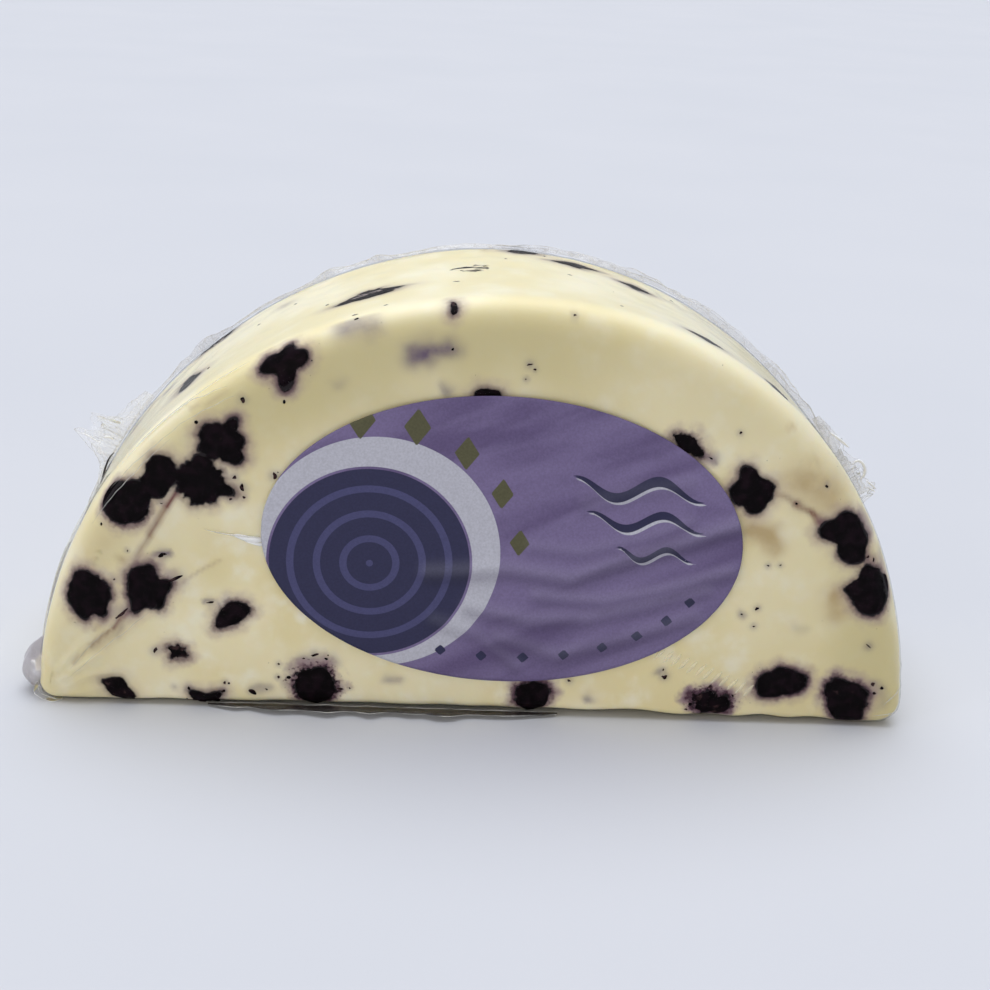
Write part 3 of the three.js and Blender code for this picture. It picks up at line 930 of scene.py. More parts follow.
def guessed_creases() -> list[Crease]:
    """Creases where the photograph shows none: from the back's corners and across the rim.

    Returns:
        The creases.
    """
    draw = np.random.default_rng(77)
    creases = []
    corners = (-99, 6, 45, 6), (100, 8, 135, 6), (-60, 82, -60, 3), (66, 78, 235, 3)
    for corner_x, corner_z, middle, count in corners:
        for _ in range(count):
            angle = radians(middle + draw.uniform(-38, 38))
            start, length = draw.uniform(0, 9), draw.uniform(9, 38)
            bend = draw.uniform(-0.12, 0.12)
            spots = [(start + length * share, angle + bend * share) for share in (0.0, 0.35, 0.7, 1.0)]
            path = tuple((corner_x + away * cos(way), corner_z + away * sin(way)) for away, way in spots)
            girth = draw.uniform(0.04, 0.09)
            creases.append(Crease(path, 0.8, 1.2 * girth, girth, Side.BACK))
    for angle in np.cumsum(draw.uniform(2.2, 7.5, 34)):
        if angle < 176:
            foot, head = draw.uniform(19, 22), draw.uniform(2, 14)
            slant = draw.uniform(-2.5, 2.5)
            path = ((angle, foot), (angle + 0.4 * slant, (foot + head) / 2), (angle + slant, head))
            creases.append(Crease(path, 0.8, 0.1, 0.0, Side.RIM))
            back = ((angle + 1.5, 27.0), (angle + 1.0, 30.5))
            creases.append(Crease(back, 0.7, 0.1, draw.uniform(0.03, 0.08), Side.RIM))
    return creases


ALL_CREASES = [*CREASES, *guessed_creases()]
# A thicker strand is a soft pleat, mostly sunk in the cheese
PLEAT = 0.25


@dataclass(frozen=True)
class CheeseFinish:
    """Fresh crumbly white cheese: dull ivory, lit through for a few millimetres, juice-stained."""

    curd: str = "f4ebc9"
    curd_deep: str = "ece0b3"
    curd_pale: str = "f8f3de"
    edge_shade: str = "d0c69a"
    flat_face_shade: str = "dac27c"
    fringe: str = "140c11"
    plum: str = "4f3341"
    halo: str = "a0888c"
    juice: str = "74463d"
    smudge: str = "6f5f72"
    tan: str = "c0ab81"

    def build(self) -> Material:
        """Draws the finish.

        Returns:
            The material.
        """
        f = Finish("fresh_white_cheese")
        drift, cloud, grain = (
            f.add("TexNoise", {"Vector": f.place, "Scale": per_mm(size), "Detail": detail})
            for size, detail in ((30, 2.0), (6, 3.0), (1.1, 2.0))
        )
        deep = f.add("MapRange", (drift, 0.42, 0.66), **SOFT)
        base = f.add("Mix", {0: deep, 6: self.curd, 7: self.curd_deep}, 2, **TINTS)
        # Curd grains were milled to about 8 mm and pressed together: each is paler in its middle
        bend = f.add("TexNoise", {"Vector": f.place, "Scale": per_mm(4), "Detail": 1.0}, 1)
        bend = f.add("VectorMath.SCALE", {0: bend, "Scale": 0.005})
        bent = f.add("VectorMath.ADD", (f.place, bend))
        curd = f.add("TexVoronoi", {"Vector": bent, "Scale": per_mm(8)})
        pale = f.add("MapRange", (curd, 0.2, 0.75, 1.0, 0.0), **SOFT)
        pale = f.add("Math.MULTIPLY", (pale, f.add("MapRange", (cloud, 0.35, 0.7), **SOFT)))
        x, y, z = f.add("SeparateXYZ", (f.place,)).node.outputs
        flat = f.add("Math.ABSOLUTE", (y,))
        flat = f.add("MapRange", (flat, 0.0265, 0.0308), **SOFT)
        most = f.add("Math.MULTIPLY_ADD", (flat, 0.7, 0.3))
        pale = f.add("Math.MULTIPLY", (pale, most))
        base = f.add("Mix", {0: pale, 6: base, 7: self.curd_pale}, 2, **TINTS)
        # Painted shade: the outer zone of the flat faces is tinted darker and duller, most near the top edge
        # on the left half and near the right edge
        out = f.add("CombineXYZ", (x, z))
        out = f.add("VectorMath.LENGTH", (out,), "Value")
        out = f.add("Math.MULTIPLY_ADD", (drift, 0.03, out))
        out = f.add("Math.MULTIPLY", (f.add("MapRange", (out, 0.078, 0.112), **SOFT), flat))
        high, left, right = (
            f.add("MapRange", ends, **SOFT)
            for ends in ((z, 0.055, 0.082, 0.4, 0.95), (x, 0.0, 0.045, 1.0, 0.45), (x, 0.06, 0.098))
        )
        most = f.add("Math.MULTIPLY", (high, left))
        most = f.add("Math.MAXIMUM", (most, right))
        out = f.add("Math.MULTIPLY", (out, most))
        # Painted shade on the right side, rim included, in the same darker tint
        right_shade = f.add("MapRange", (x, 0.03, 0.1, 0.0, 0.5), **SOFT)
        most = f.add("Math.MULTIPLY_ADD", (flat, 0.4, 0.6))
        right_shade = f.add("Math.MULTIPLY", (right_shade, most))
        out = f.add("Math.MAXIMUM", (out, right_shade))
        base = f.add("Mix", {0: out, 6: base, 7: self.edge_shade}, 2, **TINTS)
        # Painted shade: both flat faces are tinted a little darker and yellower than the rim
        most = f.add("Math.MULTIPLY", (flat, 0.1))
        base = f.add("Mix", {0: most, 6: base, 7: self.flat_face_shade}, 2, **TINTS)
        marks = f.add("Attribute", out="Vector", attribute_name="stains")
        marks = f.add("SeparateXYZ", (marks,)).node.outputs
        broken = f.add("MapRange", (cloud, 0.25, 0.6, 0.6, 1.1))
        for source, colour in (("Z", self.tan), ("Y", self.smudge), ("X", self.juice)):
            share = f.add("Math.MULTIPLY", (marks[source], broken), use_clamp=True)
            base = f.add("Mix", {0: share, 6: base, 7: colour}, 2, **TINTS)
        gap = f.add("Attribute", out="Fac", attribute_name="gap")
        bleed = f.add("Attribute", out="Fac", attribute_name="bleed")
        # Juice has crept into the curd: a faint grey halo of 4 mm, plum for 1 mm, near black at the berry
        wander = f.add("TexNoise", {"Vector": f.place, "Scale": per_mm(3.2), "Detail": 3.0})
        crumb = f.add("TexNoise", {"Vector": f.place, "Scale": per_mm(0.95), "Detail": 3.0})
        uneven = f.add("MapRange", (drift, 0.3, 0.7, 0.5, 1.3))
        bleeds = f.add("Math.MULTIPLY", (bleed, 8.0), use_clamp=True)
        wet = f.add("Math.POWER", (bleed, 2.2))
        for field, swing, start, end, colour, most in (
            (wander, 5.6, 3.9, -0.2, self.halo, 1.0), (wander, 4.0, 1.5, -0.3, self.plum, 0.8),
            (crumb, 4.6, 1.6, -0.3, self.plum, 1.0), (crumb, 2.2, 0.34, -0.2, self.fringe, 1.0),
        ):
            # Where little juice has run the edge is soft and even, and where much has it is broken up
            torn = f.add("Math.MULTIPLY_ADD", (field, -swing, swing / 2))
            amount = bleed if field is wander else wet
            torn = f.add("Math.MULTIPLY_ADD", (torn, amount, gap))
            share = f.add("MapRange", (torn, end, start, 1.0, 0.0), **SOFT)
            share = f.add("Math.MULTIPLY", (share, bleeds if colour == self.fringe else bleed))
            if colour != self.fringe:
                share = f.add("Math.MULTIPLY", (share, most))
                share = f.add("Math.MULTIPLY", (share, uneven), use_clamp=True)
            base = f.add("Mix", {0: share, 6: base, 7: colour}, 2, **TINTS)
        relief = f.add("Math.ADD", (grain, cloud))
        bump = f.add("Bump", {"Height": relief, "Strength": 0.3, "Distance": 0.12 * MM})
        shader = f.add(
            "BsdfPrincipled",
            {
                "Base Color": base, "Roughness": 0.48, "IOR": 1.42, "Normal": bump,
                "Subsurface Weight": 0.5, "Subsurface Radius": (1.0, 0.8, 0.5),
                "Subsurface Scale": 2.2 * MM, "Specular IOR Level": 0.3,
            },
        )
        return f.surface(shader)


@dataclass(frozen=True)
class BerryFinish:
    """Crushed blueberry: near-black skin with plum and brown pulp, damp but not shiny."""

    skin: str = "070406"
    plum: str = "160b12"
    pulp: str = "3a292a"
    curd: str = "a89b96"
    curd_clean: str = "eee4c4"

    def build(self) -> Material:
        """Draws the finish.

        Returns:
            The material.
        """
        f = Finish("crushed_blueberry")
        patch = f.add("TexNoise", {"Vector": f.place, "Scale": per_mm(2.4), "Detail": 4.0})
        grit = f.add("TexNoise", {"Vector": f.place, "Scale": per_mm(1.7), "Detail": 3.0})
        plum = f.add("MapRange", (patch, 0.42, 0.66), **SOFT)
        base = f.add("Mix", {0: plum, 6: self.skin, 7: self.plum}, 2, **TINTS)
        share = f.add("Attribute", out="Fac", attribute_name="pulp")
        most = f.add("Math.MULTIPLY_ADD", (share, -0.35, 0.74))
        pulp = f.add("Math.SUBTRACT", (grit, most))
        base = f.add(
            "Mix", {0: f.add("MapRange", (pulp, 0.0, 0.14), **SOFT), 6: base, 7: self.pulp}, 2, **TINTS
        )
        # On the rim the mould's hoop has dragged curd across the berries in slivers that run round it. The
        # grey
        # ones are in part a painted sheen: there, and on the eighth berry of the labelled face, they stand
        # for the film's grey glints
        drawn = f.add("VectorMath.MULTIPLY", (f.place, (1.0, 4.5, 1.0)))
        sliver_and_sheen = f.add("TexNoise", {"Vector": drawn, "Scale": per_mm(6), "Detail": 3.0})
        share = f.add("Attribute", out="Fac", attribute_name="sliver_and_sheen")
        curd = f.add(
            "Mix", {0: f.add("MapRange", (share, 0.45, 0.7), **SOFT), 6: self.curd, 7: self.curd_clean}, 2,
            **TINTS
        )
        most = f.add("Math.MULTIPLY_ADD", (share, -0.45, 0.78))
        sliver_and_sheen = f.add("Math.SUBTRACT", (sliver_and_sheen, most))
        base = f.add("Mix", {0: f.add("MapRange", (sliver_and_sheen, 0.0, 0.09), **SOFT), 6: base, 7: curd}, 2, **TINTS)
        bump = f.add("Bump", {"Height": patch, "Strength": 0.4, "Distance": 0.2 * MM})
        shader = f.add(
            "BsdfPrincipled",
            {"Base Color": base, "Roughness": 0.5, "Normal": bump, "Specular IOR Level": 0.05},
        )
        return f.surface(shader)


@dataclass(frozen=True)
class FilmFinish:
    """Clear shrink film: mirror-like at a slant, hazy where it is gathered in folds."""

    name: str
    haze: float = 0.0
    fold_haze: float = 0.0
    tint: str = "f6f7f9"
    roughness: float = 0.12
    crinkle: float = 3.0
    crinkle_depth: float = 0.08
    ior: float = 1.3
    through: float = 0.5
    most_gloss: float = 1.0
    sheen: str = "ffffff"

    def build(self) -> Material:
        """Draws the finish.

        Returns:
            The material.
        """
        f = Finish(self.name)
        soft = f.add("TexNoise", {"Vector": f.place, "Scale": per_mm(self.crinkle), "Distortion": 0.6})
        sharp = f.add("Math.SUBTRACT", (soft, 0.5))
        sharp = f.add("Math.ABSOLUTE", (sharp,))
        bump = f.add("Bump", {"Height": sharp, "Strength": 0.5, "Distance": self.crinkle_depth * MM})
        edge = f.add("Fresnel", {"IOR": self.ior, "Normal": bump})
        edge = f.add("Math.MINIMUM", (edge, self.most_gloss))
        clear = f.add("BsdfTransparent", {"Color": (1, 1, 1, 1)})
        gloss = f.add("BsdfAnisotropic", {"Color": self.sheen, "Roughness": self.roughness, "Normal": bump})
        if not self.haze:
            return f.surface(f.add("MixShader", (edge, clear, gloss)))
        milk = f.add("BsdfDiffuse", {"Color": self.tint, "Normal": bump})
        glow = f.add("BsdfTranslucent", {"Color": self.tint, "Normal": bump})
        milk = f.add("MixShader", (self.through, milk, glow))
        ridge = {0: sharp, 1: 0.0, 2: 0.05, 3: self.fold_haze, 4: self.haze}
        ridge = f.add("MapRange", ridge, **SOFT)
        body = f.add("MixShader", (ridge, clear, milk))
        return f.surface(f.add("MixShader", (edge, body, gloss)))


class Film(Enum):
    """The states that the film is in, each with its finish."""

    TIGHT = FilmFinish(
        "clear_film_drawn_tight", roughness=0.16, crinkle=5.0, crinkle_depth=0.12, ior=1.065,
        most_gloss=0.38, sheen="c6c6c2",
    )
    CREASED = FilmFinish("clear_film_creased", 0.4, 0.55, "fdfbf4", 0.2, ior=1.35, through=0.1)
    # Painted highlight: milky cream film for the ripples, so that the pleats read as the film's
    # light-catching tops
    PLEATED_SHEEN = FilmFinish(
        "clear_film_pleated", 0.48, 0.52, "fff8dc", 0.35, ior=1.15, through=0.0, most_gloss=0.04
    )
    LOOSE = FilmFinish("clear_film_loose", 0.22, 0.42, "e2e0de", 0.12, 5.0, 0.3, 1.3)
    CRUMPLED = FilmFinish("clear_film_crumpled", 0.15, 0.34, "ffffff", 0.14, 6.0, 0.3, 1.22)
    # Painted highlight: rolled film made nearly opaque white, so that the rolls read as the film's bright
    # glints
    ROLLED_GLINT = FilmFinish("clear_film_rolled_up", 0.96, 0.98, "ffffff", 0.22, 3.0, 0.08, 1.45, 0.1)
    OVER_AIR = FilmFinish("clear_film_over_air", 0.5, 0.56, "eae0e7", 0.3, 3.0, 0.16, 3.2, 0.3)
    # Painted shade: folded film tinted near black, laid where shade falls under the cheese's front edge and
    # under the ears
    FOLD_SHADE = FilmFinish("clear_film_folded_double", 0.86, 0.93, "2d2523", 0.2, 4.0, 0.25, 1.5)


# Each state's material, once main has built it
FILMS: dict[Film, Material] = {}


@dataclass
class CheeseBody:
    """The cheese itself."""

    form: WheelForm
    spacing: Spacing = Spacing(around=1.0, across=1.2, front=0.85, back=1.35)
    lift: float = 0.3
    arch: float = 0.9
    scallop: float = 0.35
    edge_height: float = 9.0
    dent_depth: float = 0.5
    dent_size: float = 30.0
    grain_depth: float = 0.14
    grain_size: float = 4.5

    def pressed(self) -> GeometryTree:
        """The tree that dents the surface as a hand-filled mould does.

        Returns:
            The tree.
        """
        t = GeometryTree(
            "Pressed surface",
            {
                "Dent depth": self.dent_depth * MM, "Dent size": per_mm(self.dent_size),
                "Grain depth": self.grain_depth * MM, "Grain size": per_mm(self.grain_size), "Seed": 4,
            },
        )
        seed = t.add("Math.MULTIPLY", (t.given("Seed"), 3.7))
        place = t.add("InputPosition")
        depth = None
        for size, amount, detail in (("Dent size", "Dent depth", 1.0), ("Grain size", "Grain depth", 3.0)):
            wave = t.add(
                "TexNoise",
                {"Vector": place, "W": seed, "Scale": t.given(size), "Detail": detail},
                noise_dimensions="4D",
            )
            part = t.add("Math.MULTIPLY", (wave, t.given(amount)))
            depth = part if depth is None else t.add("Math", (depth, part))
        inward = t.add("Math.MULTIPLY", (depth, -1.0))
        normal = t.add("InputNormal")
        offset = t.add("VectorMath.SCALE", {0: normal, "Scale": inward})
        moved = t.add("SetPosition", {"Geometry": t.given("Geometry"), "Offset": offset})
        t.end(moved, CheeseFinish().build())
        return t

    def settle(self, points: Array) -> Array:
        """Arches the cut face, which touches down near its ends, and scallops its front edge.

        Args:
            points: X, Y, Z rows.
        Returns:
            The settled rows.
        """
        x, y, z = points.T
        low = np.clip(1 - z / self.edge_height, 0, 1) ** 1.5
        arch = self.arch * np.clip(1 - (x / 88) ** 2, 0, 1)
        ripple = np.sin(x / 2.6 + 1.3 * np.sin(x / 11)) + 0.6 * np.sin(x / 6.1 + 2)
        front = np.clip(-y / self.form.half_depth, 0, 1) ** 2
        share = np.clip((x + 10) / 50, 0.35, 1) * np.clip((104 - np.abs(x)) / 12, 0, 1)
        points = points.copy()
        points[:, 2] += low * (self.lift + arch + self.scallop * (1 + ripple) * front * share)
        # The film's stronger creases have pressed their shape into the soft cheese
        face = np.flatnonzero(y < -27)
        flat = points[face][:, [0, 2]]
        for crease in (c for c in CREASES if c.side is Side.FRONT):
            points[face, 1] -= 0.8 * crease.height * np.exp(
                -((to_line(flat, np.array(crease.path)) / 0.8) ** 2)
            )
        return points

    @staticmethod
    def stains(points: Array) -> Array:
        """Strength of the three tints at each point.

        Args:
            points: X, Y, Z rows.
        Returns:
            Juice, smudge and tan columns.
        """
        tints = np.zeros((len(points), 3))
        front = points[:, 1] < -26
        flat = points[front][:, [0, 2]]
        sway = [noise.noise_vector(Vector((x / 3.4, 5.0, z / 3.4))) for x, z in flat.tolist()]
        sway = np.array([(v.x, v.z) for v in sway])
        for tint, (path, width, strength) in (
            (tint, stain) for tint, stains in STAINS.items() for stain in stains
        ):
            line = np.array(path)
            line = line if len(line) > 1 else np.repeat(line, 2, 0) + [[0, 0], [0.2, 0]]
            away = to_line(flat + (0.45 if tint is Tint.JUICE else 1.1) * sway, line)
            mark = strength * np.exp(-((away / width) ** 2))
            tints[front, tint.value] = np.maximum(tints[front, tint.value], mark)
        for fleck in (f for f in FLECKS if f.side is Side.FRONT):
            away = np.hypot(*(flat + 0.3 * sway - (fleck.x, fleck.z)).T) / (
                0.45 * max(fleck.width, fleck.height) + 0.5
            )
            tints[front, 1] = np.maximum(tints[front, 1], 0.5 * np.exp(-(away**2)))
        draw = np.random.default_rng(31)
        rest = np.flatnonzero(points[:, 1] > 14)
        reach = np.flatnonzero(points[:, 1] > 2)
        for middle in rest[draw.integers(0, len(rest), 45)]:
            width, kind = draw.uniform(0.9, 3.0), draw.integers(0, 3)
            away = np.linalg.norm((points[reach] - points[middle]) * draw.uniform(0.5, 1.2, 3), axis=1)
            mark = np.exp(-((away / width) ** 2)) * draw.uniform(0.3, 0.8) * (0.6 if kind == 0 else 1)
            tints[reach, kind] = np.maximum(tints[reach, kind], mark)
        return tints

    def build(self, berries: BerryMaker) -> tuple[Object, Surface]:
        """Makes the cheese.

        Args:
            berries: what is set in it.
        Returns:
            The piece, and its surface.
        """
        points, faces = self.form.closed(self.spacing)
        mesh = mesh_of("cheese", self.settle(points), faces)
        gap, bleed = berries.gaps(points)
        write(mesh, "gap", gap)
        write(mesh, "bleed", bleed)
        write(mesh, "stains", self.stains(points))
        fringe = np.where((gap > 0.3) & (gap < 3.5), 1.5e4 * bleed, 0)
        write(mesh, "crumbs", fringe + 1500)
        mesh = self.pressed().plain_mesh(mesh)
        obj = piece("cheese_body", mesh, "cheese", "packed_cheese")
        return obj, Surface(mesh)


@dataclass
class Crumbs:
    """Crumbs of skin and pulp that broke off the berries, scattered round them and over the cheese."""

    size_least: float = 0.08
    size_most: float = 0.6
    rarity: float = 7.0
    flatness: float = 0.25

    def build(self, cheese: Object, skin: Material) -> Object:
        """Scatters them.

        Args:
            cheese: what they lie in.
            skin: their material.
        Returns:
            One joined piece.
        """
        t = GeometryTree(
            "Scattered crumbs",
            {
                "Least size": self.size_least * MM, "Most size": self.size_most * MM, "Rarity": self.rarity,
                "Flatness": self.flatness, "Seed": 9
            },
        )
        seed = t.given("Seed")
        density = t.add("InputNamedAttribute", {"Name": "crumbs"})
        spots = t.add(
            "DistributePointsOnFaces",
            {"Mesh": t.given("Geometry"), "Density": density, "Seed": seed},
            "Points",
        )
        turn = spots.node.outputs["Rotation"]
        lump = t.add("MeshIcoSphere", {"Radius": 1.0, "Subdivisions": 1})
        dent = t.add("RandomValue", {0: (-0.45, -0.45, -0.45), 1: (0.45, 0.45, 0.45), 8: 4})
        lump = t.add("SetPosition", {"Geometry": lump, "Offset": dent})
        # Large crumbs are rare
        chance = t.add("RandomValue", {2: 0.0, 3: 1.0, 8: seed}, 1)
        chance = t.add("Math.POWER", (chance, t.given("Rarity")))
        size = t.add("MapRange", {0: chance, 3: t.given("Least size"), 4: t.given("Most size")})
        slim = t.add("RandomValue", {2: 0.5, 3: 1.3, 8: 5}, 1)
        shape = t.add("CombineXYZ", (slim, 1.0, t.given("Flatness")))
        scale = t.add("VectorMath.SCALE", {0: shape, "Scale": size})
        strewn = t.add(
            "InstanceOnPoints",
            {"Points": spots, "Instance": lump, "Rotation": turn, "Scale": scale},
        )
        t.end(strewn, skin)
        mesh = t.plain_mesh(cheese.data.copy())
        for layer in list(mesh.attributes):
            if layer.name in ("gap", "bleed", "stains", "crumbs"):
                mesh.attributes.remove(layer)
        mesh.shade_smooth()
        return piece("berry_crumbs", mesh, "berry")


@dataclass(frozen=True)
class Fleck:
    """A single fleck of berry: its middle, size and turn. On the rim x is degrees from +X and z is Y."""

    x: float
    z: float
    width: float
    height: float
    turn: float = 0.0
    side: Side = Side.FRONT

    def seat(self, form: WheelForm) -> Seat:
        """Where it lies on the wheel."""
        if self.side is Side.RIM:
            return form.rim_seat(radians(self.x), self.z)
        return form.face_seat(-1 if self.side is Side.FRONT else 1, self.x, self.z)


FLECKS = (
    *(
        Fleck(*row)
        for row in (
            (-10.6, 92.2, 1, 0.9), (-40.5, 14.8, 2.2, 0.7, 20), (-43, 13.9, 0.8, 0.5),
            (-37.6, 13.9, 1, 0.6, -30), (-57.5, 78.4, 1.3, 1.6), (-33, 99.4, 1.2, 1),
            (-78.2, 14.8, 0.8, 2.2, -32), (-49, 12.2, 0.7, 0.6), (-61.8, 6.7, 0.9, 1.2),
            (-55.2, 4.3, 2, 1.2, -35), (-51.9, 5.3, 1, 0.6, -25), (-87.5, 33, 0.6, 0.7),
            (-76.1, 39.7, 2.6, 1.2, 10), (-73.4, 33.7, 4.4, 0.9, 28), (-65.2, 27.9, 1.9, 0.5, 8),
            (-34.2, 6, 1.6, 0.8, 5), (-31.8, 6.2, 0.6, 0.5), (-57.6, 57.2, 1.3, 2.2, 12),
            (-59.3, 59.6, 1.2, 0.8, 30), (-60.2, 54.2, 1, 0.7), (-57.2, 54.9, 0.7, 0.8),
            (-85.6, 24.4, 4.4, 1.1, 44), (-50.2, 60.4, 1, 1.8), (6.9, 89.4, 1.5, 0.7, 10),
            (8.1, 88.3, 0.8, 0.6), (6.2, 85.9, 0.6, 0.5), (56.3, 75.2, 0.9, 0.7), (78, 63, 0.9, 0.8),
            (71.4, 58.3, 0.8, 0.7), (66.5, 42.4, 0.7, 0.5), (69.4, 42.6, 0.5, 0.5), (65.1, 31.1, 1.1, 1.1),
            (61.4, 29.4, 1, 0.5), (64.8, 26.4, 1, 0.5, 20), (47.9, 69.8, 1.4, 0.8, -40),
            (50, 68.8, 1.3, 0.5, -25), (44.4, 12.2, 1.9, 1.4), (44, 14, 0.5, 0.6),
            (93.4, 22.1, 1.6, 0.4, -35), (21.3, 10.2, 1.1, 0.6), (96, 11.8, 1.6, 1.9), (98.2, 11, 1.2, 1),
            (96.6, 9.4, 1, 0.8), (50.4, 3.4, 0.9, 0.7), (52, 7.4, 0.9, 1.1), (61.5, 7.6, 1, 0.9),
            (56, 9.8, 1.1, 0.8), (90.4, 45.4, 1.5, 1.2), (92, 44.4, 1, 1.2), (-84.2, 40.4, 0.5, 0.5),
            (-76, 52.6, 0.8, 0.3), (-70.4, 5, 0.9, 1.1), (-62.2, 4.6, 1.1, 0.8, 30), (16.4, 101, 0.8, 0.6),
            (-49, 8.6, 0.8, 0.9),
        )
    ),
    *(
        Fleck(angle, y, length, 0.35 * length, 0, Side.RIM)
        for angle, y, length in (
            (80.2, 4.1, 1.5), (74.4, -18.2, 1.1), (64.3, 17.2, 1.4), (108.7, -23.9, 1.5), (104.6, -22.0, 1.4),
            (118.5, 11.2, 1.3), (124.2, 8.9, 1.2), (107.0, -6.5, 1.6), (88.6, 14.0, 1.2), (95.6, -9.0, 1.8),
        )
    ),
)


def guessed_flecks() -> list[Fleck]:
    """Flecks on the back, which the photograph doesn't show.

    Returns:
        The flecks.
    """
    draw = np.random.default_rng(52)
    flecks = []
    for _ in range(34):
        angle, reach = draw.uniform(0.08, pi - 0.08), 100 * sqrt(draw.uniform(0.02, 0.95))
        size = 0.6 + 1.5 * draw.uniform() ** 2
        x, z = reach * cos(angle), max(reach * sin(angle), 4.0)
        flecks.append(Fleck(x, z, size, size * draw.uniform(0.4, 1.0), draw.uniform(-60, 60), Side.BACK))
    return flecks


class Flecks:
    """The single flecks, each a small flat lump in the surface."""

    def build(self, form: WheelForm, surface: Surface, skin: Material) -> Object:
        """Makes them.

        Args:
            form: the wheel.
            surface: its surface.
            skin: their material.
        Returns:
            One joined piece.
        """
        points: list[tuple[float, ...]] = []
        faces: Faces = []
        draw = np.random.default_rng(3)
        pulp = []
        for fleck in (*FLECKS, *guessed_flecks()):
            seat = fleck.seat(form)
            turn = radians(fleck.turn)
            reach = 1 + 0.85 * draw.uniform(-1, 1, 12)
            reach = 0.5 * reach + 0.25 * (np.roll(reach, 1) + np.roll(reach, -1))
            pulp += 38 * [draw.uniform(0.5, 1.2)]
            first = len(points)
            for share, height in ((1.0, -0.14), (0.8, 0.01), (0.4, 0.07)):
                for k in range(12):
                    angle = radians(30 * k)
                    a = 0.5 * fleck.width * share * reach[k] * cos(angle)
                    b = 0.5 * fleck.height * share * reach[k] * sin(angle)
                    u = a * cos(turn) - b * sin(turn)
                    v = a * sin(turn) + b * cos(turn)
                    flat = surface.under(seat.place + seat.u * u + seat.v * v, seat.n)
                    points.append(tuple(flat + seat.n * height))
            middle = surface.under(seat.place, seat.n)
            points += [tuple(middle + seat.n * 0.11), tuple(middle - seat.n * 0.5)]
            faces += [tuple(first + k for k in face) for face in closed_rows(3, 12)]
            faces += [(first + 36, first + 24 + k, first + 24 + (k + 1) % 12) for k in range(12)]
            faces += [(first + 37, first + (k + 1) % 12, first + k) for k in range(12)]
        mesh = mesh_of("flecks", np.array(points), faces)
        write(mesh, "pulp", np.array(pulp))
        mesh.materials.append(skin)
        return piece("berry_flecks", mesh, "berry")


@dataclass
class FilmSkin:
    """The film shrunk on to the cheese: a closed skin that bridges the dents and creases at corners."""

    form: WheelForm
    clearance: float = 0.26
    wrinkle_depth: float = 0.22
    wrinkle_size: float = 7.0
    spacing: Spacing = Spacing(around=1.3, across=1.9, front=1.1, back=1.9)

    def tree(self, cheese: Object) -> GeometryTree:
        """The tree that shrinks a loose skin on to the cheese.

        Args:
            cheese: the cheese.
        Returns:
            The tree.
        """
        t = GeometryTree(
            "Shrunk film",
            {
                "Cheese": cheese, "Clearance": self.clearance * MM,
                "Wrinkle depth": self.wrinkle_depth * MM, "Wrinkle size": per_mm(self.wrinkle_size),
                "Seed": 2,
            },
        )
        body = t.add("ObjectInfo", {"Object": t.given("Cheese")}, "Geometry")
        near = t.add("Proximity", {"Geometry": body}, "Position", target_element="FACES")
        laid = t.add("SetPosition", {"Geometry": t.given("Geometry"), "Position": near})
        seed = t.add("Math.MULTIPLY", (t.given("Seed"), 5.3))
        wave = t.add(
            "TexNoise",
            {"Vector": t.add("InputPosition"), "W": seed, "Scale": t.given("Wrinkle size"), "Detail": 1.0},
            noise_dimensions="4D",
        )
        ridge = t.add("Math.SUBTRACT", (wave, 0.5))
        ridge = t.add("Math.ABSOLUTE", (ridge,))
        ridge = t.add("MapRange", (ridge, 0.0, 0.16, 1.0, 0.0))
        slack = t.add("InputNamedAttribute", {"Name": "slack"})
        ridge = t.add("Math.MULTIPLY", (ridge, slack))
        height = t.add("Math.MULTIPLY_ADD", (ridge, t.given("Wrinkle depth"), t.given("Clearance")))
        lift = t.add("InputNamedAttribute", {"Name": "lift"})
        height = t.add("Math", (height, lift))
        normal = t.add("InputNormal")
        offset = t.add("VectorMath.SCALE", {0: normal, "Scale": height})
        moved = t.add("SetPosition", {"Geometry": laid, "Offset": offset})
        t.end(moved, FILMS[Film.TIGHT])
        return t

    def build(self, cheese: Object) -> Object:
        """Makes the skin.

        Args:
            cheese: the cheese.
        Returns:
            The piece.
        """
        points, faces = self.form.closed(self.spacing)
        mesh = mesh_of("skin", points, faces)
        x, y, z = points.T
        lift = np.zeros(len(points))
        around = np.degrees(np.arctan2(z, x)) * A_DEGREE
        for side, where, across in (
            (Side.FRONT, y < -27, points[:, [0, 2]]), (Side.BACK, y > 27, points[:, [0, 2]]),
            (Side.RIM, np.abs(y) < 29, np.stack([around, y], 1)),
        ):
            for crease in (c for c in ALL_CREASES if c.side is side):
                path = np.array(crease.path) * ((A_DEGREE, 1.0) if side is Side.RIM else (1.0, 1.0))
                low, high = path.min(0) - 3, path.max(0) + 3
                near = np.flatnonzero(where & ((across > low) & (across < high)).all(1))
                rise = np.exp(-((to_line(across[near], path) / crease.width) ** 2))
                lift[near] = np.maximum(lift[near], crease.height * MM * rise)
        reach = np.hypot(x, z) / (self.form.radius * self.form.swell(np.arctan2(z, x), y))
        rim = np.clip((reach - 0.9) / 0.1, 0, 1) * np.clip((y + 26) / 40, 0.12, 1)
        corner = np.clip((np.abs(x) - 86) / 14, 0, 1) * np.clip(1 - z / 34, 0, 1)
        back = np.clip((y - 24) / 7, 0, 1) * 0.5
        write(mesh, "slack", np.maximum.reduce([rim, corner, back, np.full(len(x), 0.05)]))
        write(mesh, "lift", lift)
        mesh = self.tree(cheese).plain_mesh(mesh)
        return piece("film_skin", mesh, "film", "packed_cheese")


